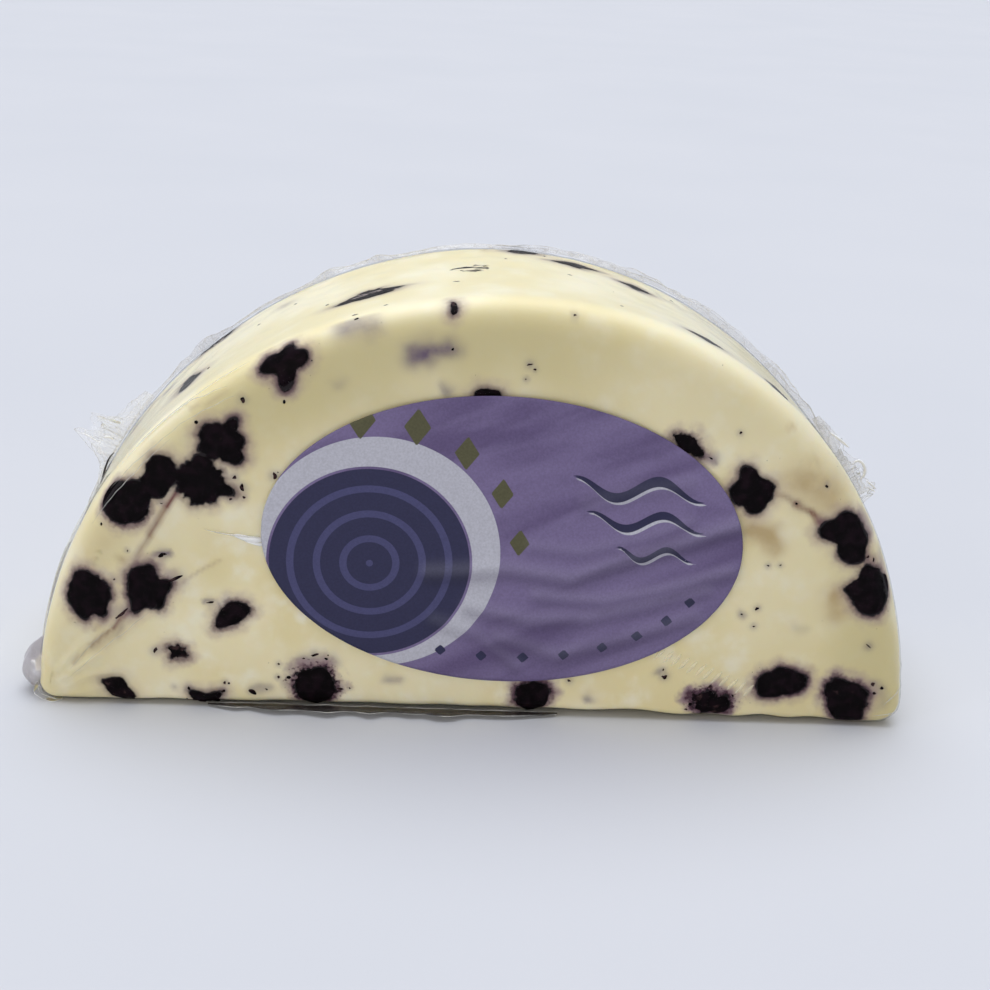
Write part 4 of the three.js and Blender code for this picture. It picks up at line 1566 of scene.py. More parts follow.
def rolled_ridges(name: str, film: Film, lines: list[list[tuple[Vector, float]]], *nodes: str) -> Object:
    """Makes fine rolls of film along lines.

    Args:
        name: the piece's name.
        film: its film.
        lines: each line's places and radii.
        nodes: CAD nodes that they stand for.
    Returns:
        One joined piece.
    """
    curve = bpy.data.curves.new("rolls", "CURVE")
    curve.dimensions = "3D"
    for line in lines:
        spline = curve.splines.new("POLY")
        spline.points.add(len(line) - 1)
        for point, (place, radius) in zip(spline.points, line):
            point.co = (*(place * MM), 1)
            point.radius = radius * MM
    t = GeometryTree("Rolled ridges", {"Sides": 6})
    profile = t.add("CurvePrimitiveCircle", {"Resolution": t.given("Sides"), "Radius": 1.0})
    girth = t.add("InputRadius")
    ends = {"Curve": t.given("Geometry"), "Profile Curve": profile, "Scale": girth, "Fill Caps": True}
    t.end(t.add("CurveToMesh", ends), FILMS[film])
    mesh = t.plain_mesh(curve)
    mesh.shade_smooth()
    return piece(name, mesh, "film", *nodes)


@dataclass
class FilmStrands:
    """The sharp tops of the film's creases, each a fine rolled ridge that tapers to nothing."""

    form: WheelForm
    step: float = 0.5
    wander: float = 0.25

    def build(self, surface: Surface, name: str, film: Film, creases: list[Crease]) -> Object:
        """Makes them.

        Args:
            surface: the cheese.
            name: the piece's name.
            film: its film.
            creases: those that have them.
        Returns:
            One joined piece.
        """
        lines = []
        for number, crease in enumerate(creases):
            path = np.array(crease.path)
            steps = np.diff(path, axis=0) * ((A_DEGREE if crease.side is Side.RIM else 1.0), 1.0)
            along = np.concatenate([[0], np.cumsum(np.hypot(*steps.T))])
            count = max(6, round(along[-1] / self.step))
            pleat = crease.strand > PLEAT
            uneven = 0.08 if pleat else 0.35
            line = []
            for k, s in enumerate(np.linspace(0, along[-1], count)):
                x, z = (float(np.interp(s, along, path[:, axis])) for axis in (0, 1))
                sway = noise.noise_vector(Vector((s * 0.35, number * 7.1, 0))) * self.wander
                if crease.side is Side.RIM:
                    seat = self.form.rim_seat(radians(x), z + sway.y)
                else:
                    face = -1 if crease.side is Side.FRONT else 1
                    seat = self.form.face_seat(face, x + sway.x, max(z + sway.y, 0.8))
                sunk = 0.55 if not pleat else 0.75 if film is Film.ROLLED_GLINT else 0.9
                rise = 0.27 + crease.height - crease.strand * sunk
                taper = sin(pi * (k + 0.5) / count) ** 0.7
                radius = crease.strand * taper * (1 + uneven * noise.noise(Vector((s, number, 3))))
                line.append((surface.under(seat.place, seat.n) + seat.n * rise, radius))
            lines.append(line)
        return rolled_ridges(name, film, lines)


@dataclass(frozen=True)
class Crinkle:
    """How sheets of loose film are crinkled. Folds and crackles are a depth and a size."""

    name: str
    folds: tuple[float, float]
    crackles: tuple[float, float]
    cord_radius: float
    seed: int
    film: Film = Film.LOOSE
    cord: Film = Film.CREASED
    floor_gap: float = 0.05

    def sheet(self, name: str, points: Array, faces: Faces, loose: Array, rolled: Array) -> Mesh:
        """Makes crinkled sheets, kept off the floor.

        Args:
            name: the mesh's name.
            points: X, Y, Z rows.
            faces: the faces.
            loose: 0 where held and 1 where free.
            rolled: 1 along what rolls up.
        Returns:
            The mesh.
        """
        mesh = mesh_of(name, points, faces)
        write(mesh, "loose", loose)
        write(mesh, "rolled", rolled)
        mesh = self.tree().plain_mesh(mesh)
        for vertex in mesh.vertices:
            vertex.co.z = max(vertex.co.z, self.floor_gap * MM)
        return mesh

    def tree(self) -> GeometryTree:
        """The tree that crinkles sheets and rolls marked edges into cords.

        Returns:
            The tree.
        """
        values = {
            "Fold depth": self.folds[0] * MM, "Fold size": per_mm(self.folds[1]),
            "Crackle depth": self.crackles[0] * MM, "Crackle size": per_mm(self.crackles[1]),
            "Cord radius": self.cord_radius * MM, "Seed": self.seed,
        }
        t = GeometryTree(self.name, values)
        shift = t.add("Math.MULTIPLY", (t.given("Seed"), 2.9))
        place = t.add("InputPosition")
        loose = t.add("InputNamedAttribute", {"Name": "loose"})
        fold = t.add(
            "TexNoise",
            {"Vector": place, "W": shift, "Scale": t.given("Fold size"), "Detail": 1.0},
            1,
            noise_dimensions="4D",
        )
        fold = t.add("VectorMath.SUBTRACT", (fold, (0.5, 0.5, 0.5)))
        fold = t.add("VectorMath.SCALE", {0: fold, "Scale": t.given("Fold depth")})
        crackle = t.add(
            "TexVoronoi",
            {"Vector": place, "W": shift, "Scale": t.given("Crackle size")},
            voronoi_dimensions="4D",
        )
        crackle = t.add("Math.MULTIPLY", (crackle, t.given("Crackle depth")))
        normal = t.add("InputNormal")
        crackle = t.add("VectorMath.SCALE", {0: normal, "Scale": crackle})
        both = t.add("VectorMath.ADD", (fold, crackle))
        offset = t.add("VectorMath.SCALE", {0: both, "Scale": loose})
        moved = t.add("SetPosition", {"Geometry": t.given("Geometry"), "Offset": offset})
        rolled = t.add("InputNamedAttribute", {"Name": "rolled"})
        marked = t.add("Compare.GREATER_THAN", (rolled, 0.9))
        cords = t.add("MeshToCurve", {"Mesh": moved, "Selection": marked})
        profile = t.add("CurvePrimitiveCircle", {"Resolution": 5, "Radius": t.given("Cord radius")})
        uneven = t.add("TexNoise", {"Vector": place, "Scale": t.given("Fold size"), "Detail": 1.0})
        uneven = t.add("MapRange", (uneven, 0.36, 0.64, 0.1, 1.3))
        tubes = t.add(
            "CurveToMesh",
            {"Curve": cords, "Profile Curve": profile, "Scale": uneven, "Fill Caps": True},
        )
        tubes = t.add("SetMaterial", {"Geometry": tubes, "Material": FILMS[self.cord]})
        sheets = t.add("SetMaterial", {"Geometry": moved, "Material": FILMS[self.film]})
        joined = t.add("JoinGeometry")
        for part in (tubes, sheets):
            t.tree.links.new(part, joined.node.inputs[0])
        smooth = t.add("SetShadeSmooth", {"Geometry": joined})
        real = t.add("RealizeInstances", {"Geometry": smooth})
        t.add("GroupOutput", (real,))
        return t


@dataclass
class FilmSeam:
    """The bag's seam: two gathered layers of film that stand on the rim near its back edge."""

    form: WheelForm
    start: float = 4.0
    end: float = 176.0
    y: float = 24.5
    steps: int = 620
    rows: int = 6
    low: float = 1.0
    high: float = 2.9
    lumps: tuple[tuple[float, float, float], ...] = (
        (133.5, 2.6, 1.35), (139.0, 1.5, 0.5), (146.0, 3.0, 0.5),
        (114.0, 1.8, 1.0), (106.5, 1.4, 0.7), (163.0, 4.0, 0.4),
    )

    def layer(self, seed: int) -> tuple[Array, Array]:
        """One of the two layers.

        Args:
            seed: picks its gathers.
        Returns:
            X, Y, Z rows, and how loose each point is.
        """
        angle = np.radians(np.linspace(self.start, self.end, self.steps))
        length = np.degrees(angle) * A_DEGREE
        wave = np.array([
            noise.noise(Vector((s / 12, seed, 0))) + 0.4 * noise.noise(Vector((s / 4, seed, 4)))
            for s in length
        ])
        side = np.clip((102 - np.degrees(angle)) / 45, 0.04, 1) * (1.25 if seed < 3 else 0.85)
        for at, width, more in self.lumps:
            side = side + more * np.exp(-(((np.degrees(angle) - at) / width) ** 2))
        fullness = np.clip(0.62 + 0.7 * wave, 0, 1)
        height = self.low * (0.45 if seed < 3 else 0.3) + (self.high - self.low) * fullness * side
        foot = self.form.radius * self.form.swell(angle, self.y) + 0.15
        sway = 1.0 * np.sin(length * 0.23) + 0.25 * np.sin(length * 0.9 + seed)
        points, loose = [], []
        for row in range(self.rows):
            share = row / (self.rows - 1)
            lean = share * (1.0 + 1.2 * wave)
            reach = foot + height * share
            points.append(np.stack([reach * np.cos(angle), self.y + sway + lean, reach * np.sin(angle)], 1))
            loose.append(np.full(self.steps, 0.15 + 0.85 * share))
        return np.concatenate(points), np.concatenate(loose)

    def build(self) -> Object:
        """Makes the seam.

        Returns:
            The piece.
        """
        layers = [self.layer(seed) for seed in (1, 4)]
        count = self.rows * self.steps
        faces = open_rows(self.rows, self.steps)
        faces += [tuple(count + k for k in face) for face in faces]
        points, loose = (np.concatenate(column) for column in zip(*layers))
        rolled = (np.arange(2 * count) % count >= count - self.steps).astype(float)
        mesh = Crinkle("Gathered seam", (0.9, 13), (0.06, 4), 0.09, 3).sheet(
            "seam", points, faces, loose, rolled
        )
        return piece("film_seam_fin", mesh, "film", "film_seam")


@dataclass
class FilmEar:
    """A corner of the bag: layers of thin film that stand out from the rim, gathered in soft folds."""

    form: WheelForm
    node: str
    angle: float
    crown: Line
    tips: tuple[float, ...]
    seed: int
    film: Film
    rolls: tuple[tuple[Film, float, Line], ...]
    cord: float = 0.08
    y: float = 16.0
    layers: tuple[tuple[float, float, float], ...] = ((1.0, 0.0, 0.7), (0.78, 1.3, -0.9), (0.55, -1.6, 1.5))
    rows: int = 18
    columns: int = 130

    def layer(self, number: int) -> tuple[Array, Array, Array]:
        """One layer, whose free edge follows the crown.

        Args:
            number: which of them.
        Returns:
            X, Y, Z rows, how loose each point is, and 1 where the film rolls.
        """
        size, shift, lean = self.layers[number]
        seat = self.form.rim_seat(radians(self.angle), self.y)
        axes = np.array([seat.u, seat.v, seat.n])
        along, height = np.array(self.crown).T
        share, u = np.meshgrid(
            np.linspace(0, 1, self.rows), np.linspace(along[0], along[-1], self.columns), indexing="ij"
        )
        ragged = np.array([noise.noise(Vector((x * 0.9, self.seed, number))) for x in u[0].tolist()])
        top = size * np.interp(u[0] - shift, along, height) * (1 + 0.16 * ragged)
        slack = share * np.clip(top / 5, 0.1, 1)
        # The film is gathered at its foot, so its folds fan out towards the tips
        v = 1.1 * np.sin(0.75 * u + self.seed + 1.7 * number + 1.2 * share) * (0.2 + slack) + lean * slack**2
        fan = 0.35 * np.sin(0.8 * u + 2.0 * number) * slack
        foot = self.form.radius - np.hypot(self.form.radius, u) + 0.1
        n = foot + (np.maximum(top, foot[0] + 0.2) - foot) * share
        rolled = share > 0.999
        for at in self.tips:
            rolled |= np.abs(u - at - shift) < 0.5 * (along[-1] - along[0]) / self.columns
        local = np.stack([u + fan, v, n], -1).reshape(-1, 3)
        return local @ axes + np.array(seat.place), (0.1 + 0.9 * slack).ravel(), rolled.ravel().astype(float)

    def build(self) -> Object:
        """Makes the ear.

        Returns:
            The piece.
        """
        sheets = [self.layer(number) for number in range(len(self.layers))]
        count = self.rows * self.columns
        base = open_rows(self.rows, self.columns)
        faces = [tuple(k * count + i for i in face) for k in range(len(sheets)) for face in base]
        points, loose, rolled = (np.concatenate(column) for column in zip(*sheets))
        crinkle = Crinkle("Crumpled corner", (0.9, 8), (0.08, 4), self.cord, self.seed, self.film)
        mesh = crinkle.sheet("ear", points, faces, loose, rolled)
        self.roll()
        return piece(f"{self.node}_crumpled", mesh, "film", self.node)

    def roll(self) -> None:
        """Makes the rolls of gathered film, in front of the sheets: white ones as painted glints, dark ones
        as painted shade.
        """
        seat = self.form.rim_seat(radians(self.angle), self.y)
        for number, (film, girth, path) in enumerate(self.rolls):
            u, n = np.array(path).T
            where = np.linspace(0, len(u) - 1, 8 * len(u))
            dense = [np.pad(np.interp(where, np.arange(len(u)), c), 4, "edge") for c in (u, n)]
            smooth = [np.convolve(c, np.ones(9) / 9, "valid") for c in dense]
            line = []
            for k, (a, b) in enumerate(zip(*smooth)):
                radius = girth * sin(pi * (k + 0.5) / len(where)) ** 0.6
                drop = self.form.radius - hypot(self.form.radius, a)
                place = seat.place + seat.u * float(a) + seat.n * float(b + drop)
                line.append((place - seat.v * (0.9 + 0.2 * number), radius))
            rolled_ridges(f"{self.node}_roll_{number + 1}", film, [line], self.node)


# Each ear's node, angle, crown, tips, seed and film, and the film, girth and path of its rolls
EARS = (
    (
        "film_ear_left", 153.5,
        (
            (-12, 0.1), (-9.7, 0.6), (-4.2, 2.5), (-2.2, 6.5), (0.75, 12.4), (2.5, 9), (4.2, 8.4),
            (6.4, 10.8), (7.2, 8.4), (8.2, 5.4), (10, 4.2), (13.4, 3.1), (16, 1.6), (19, 0.1),
        ),
        (0.75, 6.4, 3.6),
        2,
        Film.CRUMPLED,
        (
            # The two dark rolls are painted shade under the ear's sheets, along the rim
            (Film.FOLD_SHADE, 0.28, ((0.8, 0.5), (-1.5, 1.1), (-4.5, 0.9), (-7.5, 0.4), (-10.5, 0.2))),
            (Film.FOLD_SHADE, 0.15, ((-1.5, 0.1), (-4.5, 0.3), (-8, 0.1), (-12, 0.1))),
            # White rolls: painted glints of the gathered film
            (Film.ROLLED_GLINT, 0.4, ((3, 5), (3.9, 3.6), (3.8, 2.2))),
            (Film.ROLLED_GLINT, 0.16, ((1.2, 11), (1.8, 8.6), (1.4, 6), (1.6, 3.8))),
        ),
    ),
    (
        "film_ear_right", 27.0,
        (
            (-19, 0.2), (-17, 1.2), (-14, 2.3), (-10.6, 3.6), (-7, 3.4), (-4.5, 4.6), (-3.5, 5.8),
            (-1.5, 6.6), (0.4, 5.8), (3, 6.2), (6.1, 7.4), (7.2, 5), (8.5, 2.4), (11, 1.2), (14, 0.1),
        ),
        (-3.2, 0.8, 6.0),
        5,
        Film.LOOSE,
        (
            # White rolls: painted glints of the gathered film
            (Film.ROLLED_GLINT, 0.42, ((-14, 2.4), (-12, 3.3), (-10, 4.2), (-7.6, 5))),
            (
                Film.ROLLED_GLINT, 0.45,
                ((-3, 3.8), (-3.7, 5.2), (-3.3, 6.2), (-1.4, 6.7), (0.5, 6.3), (1.4, 5.2), (1.6, 4.4))
            ),
            (Film.ROLLED_GLINT, 0.34, ((2.4, 5.6), (4.4, 6.8), (6.1, 7.4))),
            (Film.ROLLED_GLINT, 0.26, ((4.4, 5.4), (5.6, 6.6), (6.6, 6.8))),
            # The dark roll along the rim is painted shade under the sheets
            (Film.FOLD_SHADE, 0.2, ((-9, 0.3), (-3, 0.5), (3, 0.5), (8, 0.3), (13, 0.1))),
        ),
    ),
)


@dataclass
class FilmPocket:
    """The pocket of air that the bag keeps at the front left corner, drawn in by fine wrinkles."""

    length: float = 11.8
    width: float = 11.6
    height: float = 13.2
    middle_x: float = -105.4
    rings: int = 40
    sides: int = 96

    def build(self, surface: Surface) -> Object:
        """Makes the pocket.

        Args:
            surface: the cheese.
        Returns:
            The piece.
        """
        middle = Vector((self.middle_x, *box_of("film_pillow")[0].yz))
        points = []
        for ring in range(1, self.rings):
            polar = pi * ring / self.rings
            for k in range(self.sides):
                turn = 2 * pi * k / self.sides
                out = Vector((-cos(polar), sin(polar) * cos(turn), sin(polar) * sin(turn)))
                # Fine wrinkles run down to where the bag is pinched under the pocket
                facing = atan2(out.y, -out.x)
                low = min(max(0.55 - out.z, 0.0), 1.3)
                pleats = 0.028 * low * sin(15 * facing + 4 * noise.noise(out * 1.6))
                pull = pleats + 0.07 * noise.noise(out * 1.9)
                wide = (1 - 0.24 * out.z) * (1 + pull)
                way = Vector((out.x * wide, out.y * wide, out.z * (1 + pull)))
                points.append(self.outside(middle, way, surface))
        points.append(self.outside(middle, Vector((-1, 0, 0)), surface))
        points.append(self.outside(middle, Vector((1, 0, 0)), surface))
        faces = closed_rows(self.rings - 1, self.sides)
        last = (self.rings - 2) * self.sides
        start = len(points) - 2
        faces += [(start, (k + 1) % self.sides, k) for k in range(self.sides)]
        faces += [(start + 1, last + k, last + (k + 1) % self.sides) for k in range(self.sides)]
        mesh = mesh_of("pocket", np.array([tuple(p) for p in points]), faces)
        mesh.materials.append(FILMS[Film.OVER_AIR])
        return piece("film_air_pocket", mesh, "film", "film_pillow")

    def outside(self, middle: Vector, out: Vector, surface: Surface) -> Vector:
        """A point off the floor, or just inside the cheese on the inner side.

        Args:
            middle: the pocket's middle.
            out: the way to go, one long at the wall.
            surface: the cheese.
        Returns:
            The point.
        """
        half = Vector((self.length / 2, self.width / 2, self.height / 2))
        point = middle + Vector(o * h for o, h in zip(out, half))
        near, normal, _, _ = surface.tree.find_nearest(point)
        depth = (point - near).dot(normal)
        if depth < -0.6:
            point = near - normal * 0.6
        point.z = max(point.z, 0.15)
        return point


@dataclass
class FilmLip:
    """The lip of spare film that hugs the cheese's front left corner under the air pocket."""

    form: WheelForm
    start: float = 172.0
    end: float = 284.0
    width: float = 1.5
    steps: int = 70
    rows: int = 7

    def build(self) -> Object:
        """Makes the lip.

        Returns:
            The piece.
        """
        corner = self.form.corner_left
        middle = -sqrt((self.form.radius - corner) ** 2 - corner**2) * float(self.form.swell(pi, -31))
        angle = np.radians(np.linspace(self.start, self.end, self.steps))
        full = np.sin(pi * np.clip(np.linspace(0, 1, self.steps), 0.02, 0.98) ** 0.7)
        points = []
        for row in range(self.rows):
            share = row / (self.rows - 1)
            reach = corner - 0.3 + self.width * full * share
            x, z = middle + reach * np.cos(angle), corner + reach * np.sin(angle)
            y = -27.6 - 2.6 * share + 0.5 * np.sin(6 * angle + 3 * share)
            points.append(np.stack([x, y, np.maximum(z, 0.15 + 0.25 * share * full)], 1))
        loose = np.repeat(np.linspace(0.2, 1, self.rows), self.steps)
        rolled = np.zeros((self.rows, self.steps))
        rolled[[self.rows // 2, -1]] = 1
        # Its cords are white rolls: painted glints
        crinkle = Crinkle("Corner lip", (0.4, 3), (0.15, 2), 0.1, 9, Film.CRUMPLED, Film.ROLLED_GLINT)
        mesh = crinkle.sheet(
            "lip", np.concatenate(points), open_rows(self.rows, self.steps), loose, rolled.ravel()
        )
        return piece("film_corner_lip", mesh, "film")


@dataclass
class FilmBaseFold:
    """The fold of spare film that lies in front of the cut face's edge."""

    start: float = -66.0
    end: float = 19.0
    reach: float = 6.6
    height: float = 2.7
    steps: int = 200
    rows: int = 20

    def build(self) -> Object:
        """Makes the fold.

        Returns:
            The piece.
        """
        draw = np.random.default_rng(40)
        x = np.linspace(self.start, self.end, self.steps)
        knots = draw.uniform(0.5, 1.0, 27)
        ragged = np.interp(np.linspace(0, 26, self.steps), np.arange(27), knots)
        full = np.sin(pi * np.clip((x - self.start) / (self.end - self.start), 0.004, 0.996)) ** 0.6
        reach = 0.8 + (self.reach - 0.8) * full * ragged
        height = 0.6 + (self.height - 0.6) * full * ragged
        points, loose = [], []
        for row in range(self.rows):
            share = row / (self.rows - 1)
            # Out along the floor, round the fold, and back up under the cheese's edge
            turn = pi * (share * 1.25 - 0.25)
            rise = 0.25 + 0.5 * height * (1 - cos(pi * min(share * 1.6, 1.0))) * (1 - 0.35 * share)
            y = -29.5 - 0.5 * reach * (1 + sin(turn - pi / 2)) - 0.1 * reach * (1 - share)
            points.append(np.stack([x, y, rise], 1))
            loose.append(np.full(self.steps, 0.25 + 0.75 * sin(pi * share)))
        rolled = np.zeros((self.rows, self.steps))
        rolled[[0, self.rows // 2, -1]] = 1
        faces = open_rows(self.rows, self.steps)
        # Its film is tinted near black: painted shade under the cheese's front edge
        crinkle = Crinkle("Flattened fold", (0.7, 7), (0.15, 4), 0.12, 6, Film.FOLD_SHADE)
        mesh = crinkle.sheet(
            "base_fold", np.concatenate(points), faces, np.concatenate(loose), rolled.ravel()
        )
        return piece("film_folded_under", mesh, "film", "film_base_fold")


@dataclass
class OvalLabel:
    """The label: an oval of uncoated paper stuck on the film, with a plain abstract print."""

    width: float = 113.0
    height: float = 72.0
    turn: float = radians(-1.5)
    step: float = 0.62
    standoff: float = 0.42
    thickness: float = 0.2
    underside: float = 2.4
    disc: tuple[float, float, float] = (-31.0, -7.0, 23.5)
    crescent: tuple[float, float, float] = (-29.5, -4.6, 29.0)

    def print_fields(self, a: Array, b: Array) -> dict[str, Array]:
        """How far each point is outside each printed shape.

        Args:
            a: place along the label.
            b: place up the label.
        Returns:
            One field for each ink.
        """
        cx, cy, size = self.disc
        ring = np.hypot(a - cx, b - cy)
        mx, my, most = self.crescent
        band = np.maximum(size + 0.6 - ring, np.hypot(a - mx, b - my) - most)
        diamonds = np.full(len(a), 50.0)
        for k in range(5):
            angle = radians(96 - 21 * k)
            x, y = cx + 35.5 * cos(angle), cy + 35.5 * sin(angle)
            diamonds = np.minimum(
                diamonds, (np.abs(a - x) / 1.0 + np.abs(b - y) / 1.45 - 3.4 + 0.25 * k) * 0.7
            )
        chips = np.full(len(a), 50.0)
        for k in range(10):
            angle = radians(232 + 11.5 * k)
            x, y = 50.0 * cos(angle), 29.5 * sin(angle)
            chips = np.minimum(chips, (np.abs(a - x) + np.abs(b - y) - 1.5) * 0.7)
        waves = [np.full(len(a), 50.0)] * 2
        for x, y, length, swing, thick in (
            (30.0, 15.5, 33.0, 2.3, 1.15), (32.5, 7.5, 29.0, 1.9, 0.95), (35.5, -0.5, 20.0, 1.5, 0.75)
        ):
            for k, shift in enumerate((0.0, 0.55)):
                share = np.clip((a - shift - x) / (length / 2), -1.6, 1.6)
                line = y - shift + swing * np.sin(share * 5.2)
                waves[k] = np.minimum(waves[k], np.abs(b - line) * 0.85 - thick * (1 - share**2))
        wave, edge = waves
        return {
            "disc": ring - size, "ring": ring, "band": band, "olive": diamonds, "chips": chips,
            "wave": wave, "wave_edge": edge
        }

    def build(self, surface: Surface) -> Object:
        """Makes the label.

        Args:
            surface: the cheese.
        Returns:
            The piece.
        """
        middle = box_of("label")[0]
        angle = np.linspace(0, 2 * pi, 420, endpoint=False)
        edge = np.stack([self.width / 2 * np.cos(angle), self.height / 2 * np.sin(angle)], 1)
        flat, faces = fill(edge, self.step)
        a, b = flat.T
        c, s = cos(self.turn), sin(self.turn)
        x, z = middle.x + a * c - b * s, middle.z + a * s + b * c
        out = Vector((0, -1, 0))
        y = np.array(
            [surface.under(Vector((px, -31.0, pz)), out).y for px, pz in zip(x.tolist(), z.tolist())]
        )
        rise, shade = np.zeros(len(a)), np.zeros(len(a))
        for path, width, height in LABEL_CREASES:
            # The underside of each crease lies a little lower, in its own shade
            for field, drop in ((rise, 0.0), (shade, self.underside)):
                away = to_line(np.stack([x, z + drop], 1), np.array(path))
                np.maximum(field, height * np.exp(-((away / width) ** 2)), out=field)
        points = np.stack([x, np.minimum(y, -30.9) - self.standoff - rise, z], 1)
        mesh = mesh_of("label", points, faces)
        layer = mesh.uv_layers.new(name="print")
        corners = np.empty(len(mesh.loops), int)
        mesh.loops.foreach_get("vertex_index", corners)
        layer.data.foreach_set("uv", (flat[corners] / 100 + 0.5).astype(np.float32).ravel())
        for name, values in self.print_fields(a, b).items():
            write(mesh, name, values)
        write(mesh, "fold", rise / 0.5)
        write(mesh, "shade", shade / 0.6)
        tree = self.rumpled()
        mesh = tree.plain_mesh(mesh, self.thickness)
        return piece("oval_paper_label", mesh, "label", "label")

    def rumpled(self) -> GeometryTree:
        """The tree that gives the paper its slight rumple.

        Returns:
            The tree.
        """
        t = GeometryTree("Rumpled paper", {"Rumple depth": 0.5 * MM, "Rumple size": per_mm(14), "Seed": 8})
        place = t.add("InputPosition")
        # The label's creases run low left to high right, so the pattern is stretched that way
        turned = t.add("VectorRotate", {"Vector": place, "Angle": radians(24)}, rotation_type="Y_AXIS")
        stretched = t.add("VectorMath.MULTIPLY", (turned, (0.45, 1.0, 1.5)))
        seed = t.add("Math.MULTIPLY", (t.given("Seed"), 1.9))
        wave = t.add(
            "TexNoise",
            {"Vector": stretched, "W": seed, "Scale": t.given("Rumple size")},
            noise_dimensions="4D",
        )
        out = t.add("Math.MULTIPLY", (wave, t.given("Rumple depth")))
        out = t.add("Math.MULTIPLY", (out, -1.0))
        offset = t.add("CombineXYZ", {1: out})
        moved = t.add("SetPosition", {"Geometry": t.given("Geometry"), "Offset": offset})
        t.end(moved, LabelFinish().build())
        return t


LABEL_CREASES = (
    (((-14.0, 38.5), (5.0, 40.0), (20.0, 38.0), (34.0, 43.5), (58.0, 53.0)), 2.0, 0.6),
    (((12.0, 33.5), (28.0, 32.5), (44.0, 36.5), (57.0, 41.0)), 1.8, 0.5),
    (((-4.0, 30.0), (10.0, 27.0), (24.0, 28.0), (38.0, 32.0), (52.0, 36.5)), 1.9, 0.5),
    (((3.0, 22.0), (18.0, 18.0), (33.0, 22.5), (50.0, 29.0)), 2.0, 0.45),
    (((22.0, 57.0), (34.0, 61.0), (46.0, 63.0)), 2.0, 0.3),
    (((-12.0, 26.0), (-2.0, 23.0), (8.0, 15.0)), 1.8, 0.35),
    (((10.0, 46.0), (22.0, 45.0), (36.0, 49.0), (47.0, 53.5)), 1.6, 0.3),
)


@dataclass(frozen=True)
class LabelFinish:
    """Uncoated label paper: dull, faintly grained, printed in soft lavender and indigo inks."""

    ground: str = "766990"
    ground_fold_shade: str = "5f5178"
    indigo: str = "2c2c4c"
    indigo_ring: str = "46466e"
    pale: str = "b9b9c4"
    olive: str = "55533a"
    shaded: str = "aea8b4"
    navy: str = "262546"

    def build(self) -> Material:
        """Draws the finish.

        Returns:
            The material.
        """
        f = Finish("printed_label_paper")
        # Painted shade: darker bands of the ground run low left to high right, like the creases' soft folds
        drawn = f.add("VectorRotate", {"Vector": f.place, "Angle": radians(24)}, rotation_type="Y_AXIS")
        drawn = f.add("VectorMath.MULTIPLY", (drawn, (0.4, 1.0, 1.7)))
        cloud = f.add("TexNoise", {"Vector": drawn, "Scale": per_mm(17), "Distortion": 0.4})
        fibre = f.add("TexNoise", {"Vector": f.place, "Scale": per_mm(0.5)})
        share = f.add("MapRange", (cloud, 0.42, 0.7), **SOFT)
        base = f.add("Mix", {0: share, 6: self.ground, 7: self.ground_fold_shade}, 2, **TINTS)
        ring = f.add("Attribute", out="Fac", attribute_name="ring")
        turns = f.add("Math.PINGPONG", (ring, 3.1))
        lines = f.add("MapRange", (turns, 0.75, 0.95, 1.0, 0.0), **SOFT)
        disc = f.add("Mix", {0: lines, 6: self.indigo, 7: self.indigo_ring}, 2, **TINTS)
        for name, colour in (
            ("band", self.pale), ("disc", disc), ("olive", self.olive), ("chips", self.indigo),
            ("wave_edge", self.pale), ("wave", self.navy),
        ):
            away = f.add("Attribute", out="Fac", attribute_name=name)
            ink = f.add("MapRange", (away, -0.08, 0.08, 1.0, 0.0), **SOFT)
            base = f.add("Mix", {0: ink, 6: base, 7: colour}, 2, **TINTS)
        # Painted highlight: the print is paler along the tops of the creases
        crest_highlight = f.add("Attribute", out="Fac", attribute_name="fold")
        crest_highlight = f.add("Math.MULTIPLY", (crest_highlight, 0.08), use_clamp=True)
        base = f.add("Mix", {0: crest_highlight, 6: base, 7: self.pale}, 2, **TINTS)
        shade = f.add("Attribute", out="Fac", attribute_name="shade")
        shade = f.add("Math.MULTIPLY", (shade, 0.45), use_clamp=True)
        base = f.add("Mix", {0: shade, 6: base, 7: self.shaded}, 2, **TINTS, blend_type="MULTIPLY")
        speck = f.add("MapRange", (fibre, 0.3, 0.7, 0.9, 1.08))
        base = f.add("VectorMath.SCALE", {0: base, "Scale": speck})
        bump = f.add("Bump", {"Height": fibre, "Strength": 0.25, "Distance": 0.05 * MM})
        shader = f.add(
            "BsdfPrincipled",
            {"Base Color": base, "Roughness": 0.55, "Normal": bump, "Specular IOR Level": 0.3},
        )
        return f.surface(shader)


